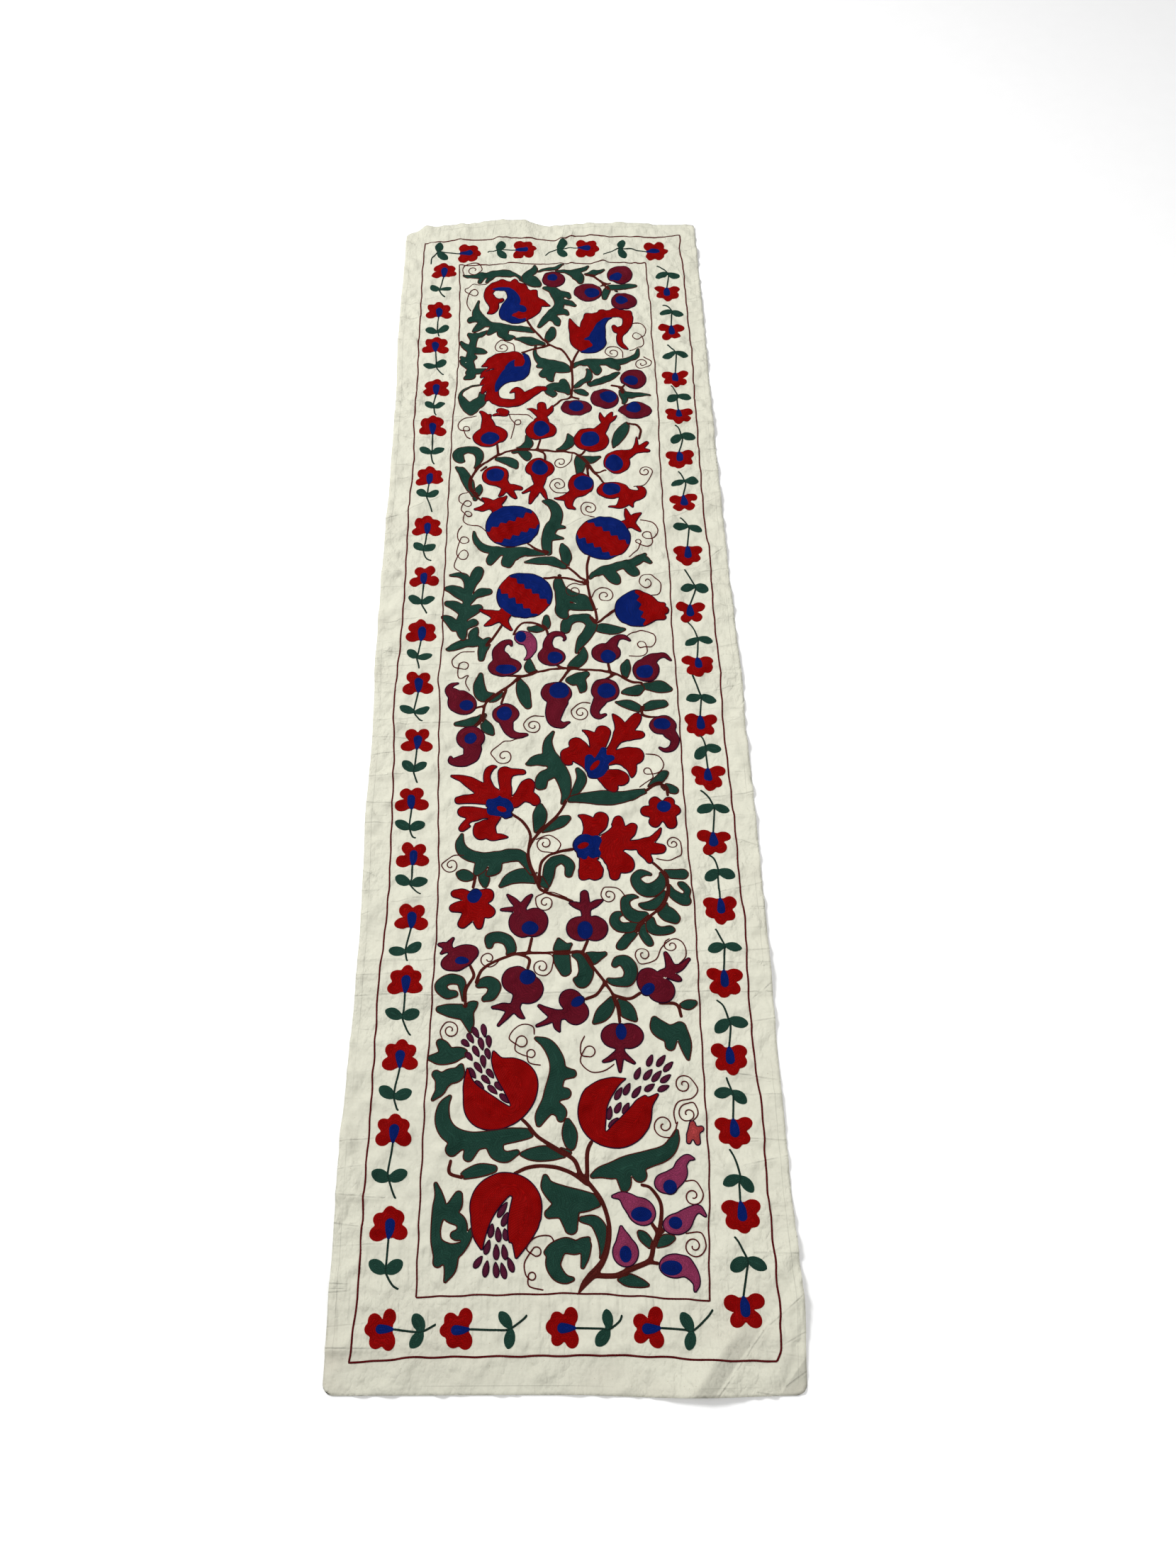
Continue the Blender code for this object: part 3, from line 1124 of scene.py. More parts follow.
LEFT_SPRIGS = (
    "-182,801,-188,760,-177,734 -187,704,-187,664,-184,648 -189,624,-187,585,-174,560"
    " -185,529,-187,494,-182,463 -187,443,-188,400,-182,370 -189,344,-191,310,-182,275"
    " -188,247,-192,210,-179,184 -189,155,-191,116,-182,88 -189,57,-193,20,-189,-6"
    " -189,-29,-193,-67,-180,-90 -187,-119,-190,-157,-184,-182 -190,-208,-191,-242,-182,-262"
    " -185,-288,-187,-320,-172,-341 -183,-373,-188,-410,-184,-430 -186,-457,-188,-492,-177,-521"
    " -188,-547,-193,-587,-187,-609 -191,-633,-194,-678,-185,-706 -191,-735,-192,-775,-177,-799"
)
RIGHT_SPRIGS = (
    "195,740,198,779,180,806 197,648,200,688,185,710 198,543,200,590,188,618"
    " 198,461,199,499,188,523 194,374,199,413,190,438 195,287,199,323,190,348"
    " 195,189,199,234,187,256 193,88,202,126,188,160 197,-4,200,35,187,71 195,-97,198,-60,188,-21"
    " 200,-177,199,-140,190,-115 200,-271,203,-228,187,-199 202,-362,203,-318,192,-290"
    " 199,-457,203,-418,193,-390 199,-549,201,-511,188,-480 197,-632,198,-595,193,-572"
    " 198,-722,200,-690,190,-653 193,-819,200,-776,188,-746"
)
TOP_SPRIGS = (
    "-143,847,-187,851,-205,822 -47,853,-84,852,-108,845 60,852,20,853,-9,836"
    " 178,842,126,850,90,838"
)
BOTTOM_SPRIGS = (
    "-192,-838,-156,-840,-135,-833 -111,-838,-62,-837,-38,-824 2,-837,42,-838,63,-824"
    " 92,-837,130,-840,160,-819"
)
# Which way the flowers of each side face, in degrees, and their scale
SPRIG_SIDES = (
    (90, 1.08, LEFT_SPRIGS), (-90, 1.08, RIGHT_SPRIGS), (0, 1.18, TOP_SPRIGS),
    (180, 1.00, BOTTOM_SPRIGS),
)
BORDER_SEED = 5

# Flowers and fruit of the field
Bloom = namedtuple("Bloom", "thread body heart eye bare", defaults=("", "", ""))

TULIPS = (
    "red | -105,698,1.5 -98,704,6 -95,716,8 -101,730,8.5 -105,742,7.5 -102,756,8 -92,765,9"
    " -82,768,9.5 -70,764,10 -58,757,12 -50,745,16 -42,730,19 -38,712,22 -48,696,20 / -82,768,8.5"
    " -82,774,6.5 / -63,762,9 -62,770,7 / -48,752,9 -47,759,7.5 / -31,738,9 -29,747,6.5 / -30,723,9"
    " -18,721,7.5 -10,717,5 -2,714,1 / -99,727,8 -88,726,5 -81,730,2.5"
    " | -98,757,1.5 -88,757,4.5 -76,755,6 -66,745,8.5 -62,730,11.5 -68,715,14 -71,700,15.5"
    " -68,690,14 -58,683,9 -46,681,5 / -60,712,8 -51,708,9.5 -48,705,8"
    " | -61,693,4.5 -52,691,6.5 -42,690,7",
    "red | 31,675,1.5 35,663,6.5 43,648,13 50,630,19 56,620,16 / 58,655,11 63,676,11.5 84,688,9"
    " 106,693,8.5 124,686,9 126,670,8 120,655,7 112,640,5 112,625,4.5 118,615,3.5 124,609,1 /"
    " 62,684,8.5 62,686,8 / 85,692,8.5 85,695,7.5 / 106,696,8.5 106,698,7.5 / 125,688,9 127,691,7 /"
    " 118,655,7.5 108,653,6 103,660,3.5 / 60,645,16 72,668,10 86,683,7"
    " | 99,683,1.5 89,677,5 81,664,8 78,650,11 75,636,13.5 77,622,12 70,612,8.5 58,607,4.5"
    " 50,606,2.5 / 66,634,6 56,633,3"
    " | 61,620,6.5 52,618,6",
    "red | -113,577,1 -103,582,6 -92,587,11 -78,590,15 -64,592,16 -54,588,15 / -88,572,15"
    " -94,560,12 -96,545,10.5 -95,525,9.5 -93,510,9 -86,499,9 -72,494,8.5 -60,494,8.5 -50,500,9"
    " -42,508,8.5 -30,518,7.5 -18,524,5.5 -13,525,5 / -98,567,8 -107,561,6 -113,554,2.5 / -98,550,9"
    " -107,543,6 -113,535,2.5 / -98,533,9 -106,526,6 -111,518,2.5 / -96,517,8 -101,509,5.5"
    " -105,502,2 / -50,509,9 -53,519,6.5 -60,521,4 -66,517,1.5 / -78,575,14 -62,568,14 -52,562,12"
    " | -45,603,2 -41,595,4.5 -39,582,5 -44,568,9 -55,560,16 -68,556,14 -79,546,9 -86,534,5.5"
    " -89,522,2.5 / -68,572,8 -65,582,5.5 -60,589,2.5"
    " | -53,585,8,9"
    " | -106,565,1 -98,568,1.3 -93,569,0.8",
)
BERRIES = (
    "purple | 5,777,19,18 | 3,782,9,9",
    "purple | 62,744,23,21 | 69,743,13,12",
    "purple | 117,785,21,21.5 | 110,779,11,10",
    "purple | 122,720,21,19 | 118,723,11,10",
    "purple | 130,542,20.5,21 | 126,539,12,12",
    "purple | 83,500,22,21.5 | 89,505,14,13",
    "purple | 38,480,24,19 | 38,485,12,13",
    "purple | 130,472,26,18.5 | 128,478,12,13",
)
CROWNED_FRUIT = (
    "red | -97,424,27,19,8 / -100,440,12 -103,455,7 -108,468,4 -114,473,1 / -102,455,6 -97,467,1.5"
    " | -97,421,15,12",
    "red | -18,433,24,17 / -17,447,12 -16,462,7 -16,478,7 -17,490,6.5 / -18,462,5 -28,474,4.5"
    " -39,478,1 / -14,462,5 -4,475,5 0,485,1.5"
    " | -17,436,13,14",
    "red | 60,413,27,22,-10 / 72,428,10 82,442,7 89,458,5 93,468,2 / 83,446,6 77,456,4 75,468,1 /"
    " 86,446,4 95,452,3 100,456,1"
    " | 58,415,15,15",
    "red | 98,368,20,22 / 110,382,10 124,389,6 135,397,5 146,407,2.5 / 128,391,5 140,391,5"
    " 148,390,2 / 124,390,4 129,402,3 130,416,1"
    " | 94,366,14,16",
    "red | -88,345,20,20 / -78,332,10 -70,323,7 -60,322,6 -50,320,4 / -70,323,7 -63,310,5"
    " -57,302,2.5 / -71,322,6 -76,312,4 -82,303,1"
    " | -88,347,14,14",
    "red | -20,358,22,18 / -21,342,12 -22,326,7 -33,319,4 -46,311,1.5 / -23,322,7 -30,305,6"
    " -35,291,2 / -22,322,6 -15,310,4 -10,297,1.5"
    " | -20,359,13,14",
    "red | 42,325,19,22 / 36,310,11 25,302,8 10,299,3 2,299,1 / 30,305,8 24,293,7 25,281,4"
    " 32,276,1.5"
    " | 46,328,15,15",
    "red | 90,313,24,16 / 106,308,10 120,302,10 131,304,8 134,314,5 127,320,1 / 110,300,10"
    " 105,288,8 95,280,3 83,281,1 / 120,300,8 116,290,5 119,280,1"
    " | 88,315,14,13",
    "red | -92,466,2 -82,468,4 -75,469,6 / -82,477,6 -74,474,6",
)
BUDS = (
    "pink | -47,46,10 -37,42,10 -33,27,7 -36,15,4 -42,8,1.5 | -48,47,8,8.5",
    "purple | -70,-4,23,15,3 / -75,10,12 -79,24,8 -73,37,5 -64,40,3.5 -61,34,1.5 | -68,-8,15,8",
    "purple | -5,13,19,16,-10 / -9,26,8 -10,38,6 -4,50,5 8,52,4 14,45,2 12,40,1 | 0,11,11,11",
    "purple | 71,18,20,17 / 79,32,8 86,43,5 95,46,3.5 105,40,1.5 | 74,12,11,12",
    "purple | 125,-12,18,19 / 130,3,10 141,10,6 152,12,4 160,4,1.5 | 123,-15,12,11",
    "purple | -128,-60,20,18,-30 / -140,-46,9 -147,-38,5 -143,-31,3 -134,-29,1 | -122,-63,10,9",
    "purple | -68,-78,18,15 / -67,-92,9 -63,-105,6 -52,-113,5 -40,-112,2.5 | -70,-77,11,11",
    "purple | 1,-46,21,17 / 3,-60,14 -2,-76,12 -2,-90,8 8,-97,4.5 18,-93,1.5 | 5,-42,14,13",
    "purple | 68,-43,19,18 / 60,-60,9 53,-75,6 58,-84,4 67,-82,2 | 70,-43,13,12",
    "purple | 144,-99,18,14 / 153,-112,9 159,-122,6 155,-133,4.5 146,-137,3 138,-134,1.5"
    " | 143,-97,12,9",
    "purple | -115,-115,19,17 / -112,-132,12 -115,-145,10 -128,-150,8 -140,-150,4 -141,-144,2"
    " | -115,-116,9,9",
)
STAR_FLOWERS = (
    "red | 27,-126,10 33,-138,13 40,-150,11 44,-160,8 / 14,-142,8.5 26,-142,11 36,-148,11 /"
    " 14,-148,8 15,-153,5 19,-155,2.5 / 36,-105,1 43,-110,5 50,-118,8 53,-130,8.5 52,-140,8 /"
    " 63,-109,10.5 60,-120,10 56,-132,9 / 77,-82,1 82,-88,5 86,-96,7 88,-106,9 84,-116,9 77,-128,7"
    " 71,-140,5 / 110,-85,6 106,-91,8 100,-99,8.5 93,-107,9 86,-116,9 / 113,-113,6 104,-113,7"
    " 94,-114,8.5 / 104,-145,12.5 92,-146,13.5 80,-148,10 70,-152,8 / 96,-155,10 99,-164,7"
    " 100,-171,4.5 99,-177,1 / 58,-176,5 70,-177,9.5 82,-178,11 85,-179,10.5 / 62,-180,7 70,-188,8"
    " 74,-192,6.5 75,-194,5"
    " | 50,-162,12 58,-160,11 / 44,-148,6.5 44,-160,7 / 63,-136,4.5 60,-146,7 58,-156,10 / 72,-149,6"
    " 64,-152,8 / 47,-172,6 56,-170,8 62,-166,6.5"
    " | 51,-158.5,10,4.2,50"
    " | 37,-108,1 42,-117,1.2 43.5,-125,1 44.5,-131,0.6 / 76,-97,1.8 75.5,-108,1.8 73,-119,1.8"
    " 69,-128,1.6 67,-132,1 / 96,-124,2.5 88,-127,2 83,-132,1.4 80,-136,0.7 / 70,-164,0.5"
    " 78,-163,1.5 86,-163,1.8 92,-167,1.6 95,-173,1.2",
    "red | -139,-172,1.5 -126,-176,5 -115,-182,7.5 -103,-190,9 -92,-199,10 -82,-206,9 /"
    " -129,-209,4.5 -118,-207,6 -105,-206,7.5 -93,-207,8 / -122,-225,7.5 -110,-227,9 -98,-229,8"
    " -88,-230,7 / -123,-249,4.5 -117,-243,6 -108,-236,7 -98,-231,6 / -78,-234,5 -88,-243,8.5"
    " -97,-250,10.5 -98,-255,10.5 / -88,-248,8 -86,-258,8 -80,-262,5.5 -72,-262,4 -64,-262,1 /"
    " -80,-159.5,1.2 -86,-161,3.5 -91,-168,4.5 -92,-177,4.5 -89,-187,5.5 -82,-197,7 / -68,-169,9.5"
    " -68,-178,9 -67,-190,8 -67,-202,8 / -62,-168,6 -52,-167,4.5 -45,-168,3.5 -42,-170,1.5 /"
    " -38,-188,9.5 -41,-195,10 -47,-204,8.5 -55,-212,8 / -40,-202,9 -31,-207,7.5 -28,-211,6.5"
    " | -74,-219,17.5,14 / -88,-212,5 -86,-220,6 -86,-226,5.5 / -75,-208,5 -75,-204,2 / -66,-231,5"
    " -61,-231,3"
    " | -72,-222,7,4.5,-20"
    " | -118,-215,1.6 -105,-216,1.8 -96,-218,1.6 -91,-220.5,1 / -112,-244,2 -105,-241,1.6"
    " -98,-238.5,1.2 -90,-237.5,0.8 / -82,-170,3 -83,-179,3 -80,-187,2.5 -76,-192,1.2 / -57,-178,3"
    " -58,-187,2 -56.5,-196,1.2 -56,-200,0.7",
    "red | 28,-232.5,1 35,-236,4.5 41,-243,8 43,-252,9 41,-262,9 / 57,-237.5,9.5 54,-247,10"
    " 48,-256,9 / 79,-241,6.5 78,-250,9 73,-261,11 62,-271,11 / 97,-250,6 91,-259,9 82,-268,10 /"
    " 133.5,-251.5,1 129,-260,3.5 121,-268,5 108,-274,6.5 95,-276,6.5 82,-277,7 / 132,-281,6.5"
    " 122,-280,8 108,-278,7 / 117,-297,4 114,-291,5 108,-284,6 / 62,-285,10 74,-293,12 84,-301,12.5"
    " 87,-303,10.5 / 68,-297,9 72,-308,8 72,-317,6.5 / 40,-293,12 41,-303,13.5 40,-309,12 /"
    " 34,-312,8 33,-317,6.5 / 48,-310,10 48,-315,9 / 76,-278,6,6"
    " | 37,-275,17,15 / 48,-270,9 50,-268,7.5 / 46,-286,8 50,-286,6 / 32,-288,7 34,-291,4.5"
    " | 33,-276,8,4,12"
    " | 68,-248,3 63,-254,2 57,-258.5,1.3 54,-260.5,0.7 / 102,-263,2.2 98,-266,1.6 94,-269,0.8 /"
    " 100,-288,3 93,-285,2 86,-283.5,1.2 / 61,-310,2 60.5,-304,2.2 56,-298,1.8 51,-295,1",
    "red | 116,-227,7.5 126,-228,9 / 126,-243,7.5 131,-234,9 / 147,-245,7.5 143,-234,10 /"
    " 152,-228,8 143,-226,10 / 128,-215,8 134,-222,9 / 146,-214,7 143,-222,9"
    " | 139,-221,9.5,9",
    "red | -105,-356,13,14 / -129,-340,5.5 -120,-341,7 -110,-348,8 / -131,-360,5 -121,-358,8"
    " -110,-358,9 / -119,-380,6 -113,-372,8 -108,-365,9 / -98,-384,4.5 -99,-376,7 -100,-366,8 /"
    " -87,-365,8.5 -95,-360,10 / -90,-343,9.5 -98,-345,10"
    " | -106,-345,8.5,8 / -103,-340,6.5 -101,-341,6",
)
ROUND_FRUIT = (
    "purple | -46,-381,15,18,20 / -30,-379,17,19,-15 / -45,-365,6 -47,-358,4.5 / -47,-360,4"
    " -56,-350,4 -63,-343,1.5 / -45,-360,4 -39,-350,4 -33,-343,1.5 / -48,-361,4 -60,-362,3"
    " -71,-362,1.5"
    " | -35,-387,11,9",
    "purple | 27,-388,17,16 / 45,-388,16,16 / 35,-374,5 34,-360,6 33,-343,5 / 34,-362,4 23,-357,4"
    " 15,-354,1.5 / 35,-362,4 47,-355,4 55,-351,1.5"
    " | 33,-390,10,12",
    "purple | -124,-430,20,13,15 / -117,-421,19,13,15 / -134,-414,4.5 -140,-409,4 -147,-407,2 /"
    " -135,-412,4 -134,-405,3 -130,-399,1.5 / -138,-414,4 -144,-419,1.5"
    " | -118,-430,9,6",
    "purple | -52,-455,17,17 / -38,-466,19,17 / -50,-478,6 -55,-488,5.5 -68,-487,4 -80,-488,1.5 /"
    " -56,-488,5 -65,-500,3 -73,-509,1.5 / -53,-488,5 -46,-498,3 -42,-501,1"
    " | -38,-452,10,9",
    "purple | 14,-480,14,13 / 20,-494,15,15 / 5,-497,5 -5,-497,6 -15,-492,4 -24,-486,2 / -4,-498,5"
    " -15,-505,3 -27,-510,1.5 / -3,-500,5 -3,-510,4 0,-517,1"
    " | 22,-481,9,6,30",
    "purple | 108,-457,14,16 / 123,-469,16,15 / 124,-449,5 134,-445,6 133,-431,4 130,-422,2 /"
    " 136,-444,6 148,-440,4 158,-430,2 / 131,-449,5 142,-454,4 146,-456,2"
    " | 107,-467,9,7,30",
    "purple | 66,-523,17,15 / 82,-523,17,15 / 71,-538,5 70,-552,4 70,-565,1.5 / 68,-544,4 59,-550,3"
    " 51,-553,1.5 / 73,-544,4 80,-550,3 87,-555,1.5"
    " | 73,-518,7,10",
)
SMALL_BUDS = (
    "pink | 117,-690,13,11 / 122,-688,11 132,-680,9 135,-670,6 142,-663,4 150,-664,1"
    " | 121,-694,8,8",
    "pink | 88,-720,16,14,-30 / 78,-713,10 68,-704,5 57,-704,1.5 | 88,-723,12,8",
    "pink | 127,-733,16,11,10 / 134,-729,10 143,-721,6 151,-718,4 158,-725,1.5 | 125,-732,8,7",
    "pink | 69,-762,14,15 / 68,-752,9 66,-742,4 65,-736,1.5 | 69,-764,7,9",
    "pink | 122,-776,17,12 / 132,-776,10 140,-784,7 144,-793,4 142,-801,1.5 | 118,-778,12,8",
    "coral | 150,-626,3.5 150,-635,6 / 147,-638,4 145,-645,2.5 / 153,-638,4.5 155,-646,3 /"
    " 155,-633,4 160,-631,3",
)
OPEN_FRUIT = (
    "red | -69,-590,47,37,40 / -96,-600,15 -106,-582,7 -108,-562,1.5 / -60,-572,22 -72,-556,9"
    " -78,-541,1.5"
    " | | | -95,-550,14 -91,-566,13.5 -82,-578,10 -71,-590,6.5 -59,-603,1.5",
    "red | 62,-612,42,40 / 42,-598,18 60,-583,8 79,-575,1.5 / 88,-620,15 99,-604,7 112,-592,1.5"
    " | | | 98,-577,14 81,-587,13 72,-597,12.5 64,-608,10.5 58,-619,6 52,-632,1.5",
    "red | -62,-715,40,37 / -84,-726,17 -90,-743,8 -88,-758,1.5 / -43,-726,20 -45,-746,11"
    " -50,-767,1.5"
    " | | | -71,-774,17 -72,-757,14.5 -71,-742,11.5 -68,-728,8.5 -63,-716,5.5 -57,-705,2.2",
)

# Fruit in stepped bands: a bar parts its oval, its crown, and its blue parts beyond a stepped
# line, each as the way it faces and how far it lies from the middle
BANDED_FRUIT = (
    "-61,247,40,39 | -84,279,9 -92,288,9 -105,282,6 -118,281,1.5 / -92,288,9 -100,297,5"
    " -107,302,1.5 / -88,287,9 -78,296,5 -71,304,1.5"
    " | 117,9 -63,17",
    "73,222,40,39.5 | 106,246,7 114,250,7 110,264,4.5 108,276,1.5 / 114,251,7 122,262,5 130,268,1.5"
    " / 114,250,6 122,241,4 128,234,1.5"
    " | 54,13 -126,19",
    "-43,120,40,39.5 | -68,92,9 -76,83,9 -92,90,5 -106,94,1.5 / -78,82,8 -90,74,5 -99,69,1.5 /"
    " -74,82,8 -70,72,5 -61,60,1.5"
    " | 50,12 -130,15",
    "118,93,32,31 | 145,98,9 153,98,5 / 147,90,10 157,89,5 / 145,82,9 153,79,5 | 190,-5",
)

# Seeds of the open fruit: middle, the way each points, and half its length
SEEDS = (
    "-65,-595,-43,8 -79,-585,-43,8 -72,-581,-50,7 -94,-580,-45,8 -87,-573,-45,7.5 -82,-566,-52,7"
    " -103,-566,-55,7.5 -96,-559,-55,8 -90,-552,-80,8 -107,-546,-55,7 -85,-543,-75,7.5"
    " -99,-540,-62,8 -112,-530,-40,6.5 -93,-531,-75,8.5 -106,-524,-60,7.5 -84,-528,-85,8"
    " -100,-517,-62,8 -90,-515,-80,9",
    "60,-624,47,8.5 56,-613,80,8.5 66,-607,60,7.5 75,-608,62,8 67,-591,60,8.5 77,-586,62,8"
    " 88,-589,52,9 90,-568,65,8 102,-569,50,8.5 103,-584,35,7.5 112,-571,48,9 119,-585,25,8"
    " 122,-574,35,8 126,-560,45,8.5 118,-553,52,9 105,-553,65,8",
    "-66,-718,57,10 -63,-728,68,8.5 -78,-740,80,8 -70,-744,95,8.5 -62,-744,100,7 -82,-757,75,8.5"
    " -72,-762,90,8.5 -63,-762,100,8.5 -92,-772,53,8 -83,-779,80,9 -72,-780,95,8.5 -64,-781,105,9"
    " -56,-775,110,8.5",
)
SEED_HALF_WIDTH = 3.3

STEMS = (
    # Top of the field
    "32,572 30,585 20,605 5,618 -8,628 -20,645 -35,668 -42,682 / -5,622 -20,615 -48,606 / 32,572"
    " 38,595 46,611 / 32,575 33,545 32,520 28,505 12,495 2,484 / 30,507 42,502",
    "95,530 105,527 110,520 118,530 / 108,524 112,512",
    "60,783 72,783 80,775 92,765 100,764 / 92,765 84,758 / 84,772 96,752",
    # Red crowned fruit
    "-118,358 -115,362 -100,375 -82,388 -60,397 -30,397 0,393 20,392 40,382 55,365 65,345 78,325 /"
    " -116,360 -125,340 -125,320 -115,305 -108,298 -98,292 / -86,408 -84,388 / -18,418 -24,398 /"
    " 52,395 42,383 / -110,357 -102,364 / -12,374 -13,388 -25,397 / 80,350 64,349 55,362 / 54,338"
    " 52,362",
    "118,441 130,441 137,430 134,414",
    # Banded fruit
    "52,190 48,172 48,150 48,138 50,120 57,97 60,75 / 20,170 30,160 40,148 48,140 / -15,150 10,151"
    " 25,148 45,138 / 52,80 60,70 72,80 87,93",
    "-38,213 -24,203 -10,197",
    "-95,34 -80,60 -72,74",
    # Buds
    "-66,-18 -45,-20 -20,-12 5,-8 35,-10 60,-12 85,-20 105,-30 118,-33 / -50,-22 -75,-42 -95,-60"
    " -100,-85 -110,-100 / -114,-68 -98,-65 / 2,-2 12,-9 / 73,2 75,-14 / -74,-62 -68,-40 / 60,-30"
    " 80,-20 / 4,-32 10,-23 20,-10",
    "-58,52 -50,68 -35,73 -20,68 -12,60 -9,48",
    "118,-70 118,-82 138,-87",
    # Star flowers
    "12,-213 0,-232 -15,-247 -28,-262 -37,-280 -35,-300 -28,-318 -22,-335 0,-345 18,-352 / -60,-228"
    " -45,-240 -35,-258 -36,-275 / -24,-325 -20,-298 -5,-286 22,-280",
    "118,-197 135,-188 143,-193 145,-204",
    "-104,-318 -107,-332",
    "121,-300 128,-307 134,-314 138,-322 138,-335 136,-348 128,-361 118,-369 108,-377 100,-385"
    " 97,-392",
    # Purple fruit
    "-100,-458 -92,-440 -70,-427 -45,-420 -15,-420 10,-420 28,-420 42,-440 55,-458 65,-475 70,-490"
    " 72,-508 / -33,-400 -37,-419 / 36,-403 30,-418 / -108,-436 -103,-450 -112,-465 -113,-485 /"
    " -38,-443 -36,-428 -50,-421 / 32,-478 46,-472 56,-458 / 98,-471 84,-478 66,-474 / 120,-484"
    " 140,-485 145,-500",
    # Open fruit
    "-50,-614,2.2 -38,-625,2.3 -25,-640,2.4 0,-655,2.6 15,-665,2.7 22,-680,2.8 35,-695,2.7"
    " 46,-712,2.6 52,-735,2.7 50,-756,2.9 44,-771,3.5 34,-783,4.4 24,-793,3.8 17,-803,1.2 /"
    " 38,-640,2.3 30,-655,2.6 29,-684,2.6 / -57,-681 -35,-672,2.3 -10,-672,2.4 12,-679,2.5"
    " 28,-690,2.7 / 30,-785,3 55,-786,3.1 65,-783,2.9 80,-777,3.2 95,-770,3 100,-755,2.8"
    " 108,-735,2.6 110,-712,2.3 100,-696 90,-692 / 98,-731 105,-742,2.4 / 114,-738 106,-744,2.4 /"
    " 71,-776 68,-783,2.4 / 107,-774 93,-772",
    "-125,-665 -126,-678 -112,-683",
)
STEM_HALF_WIDTH = 2.15

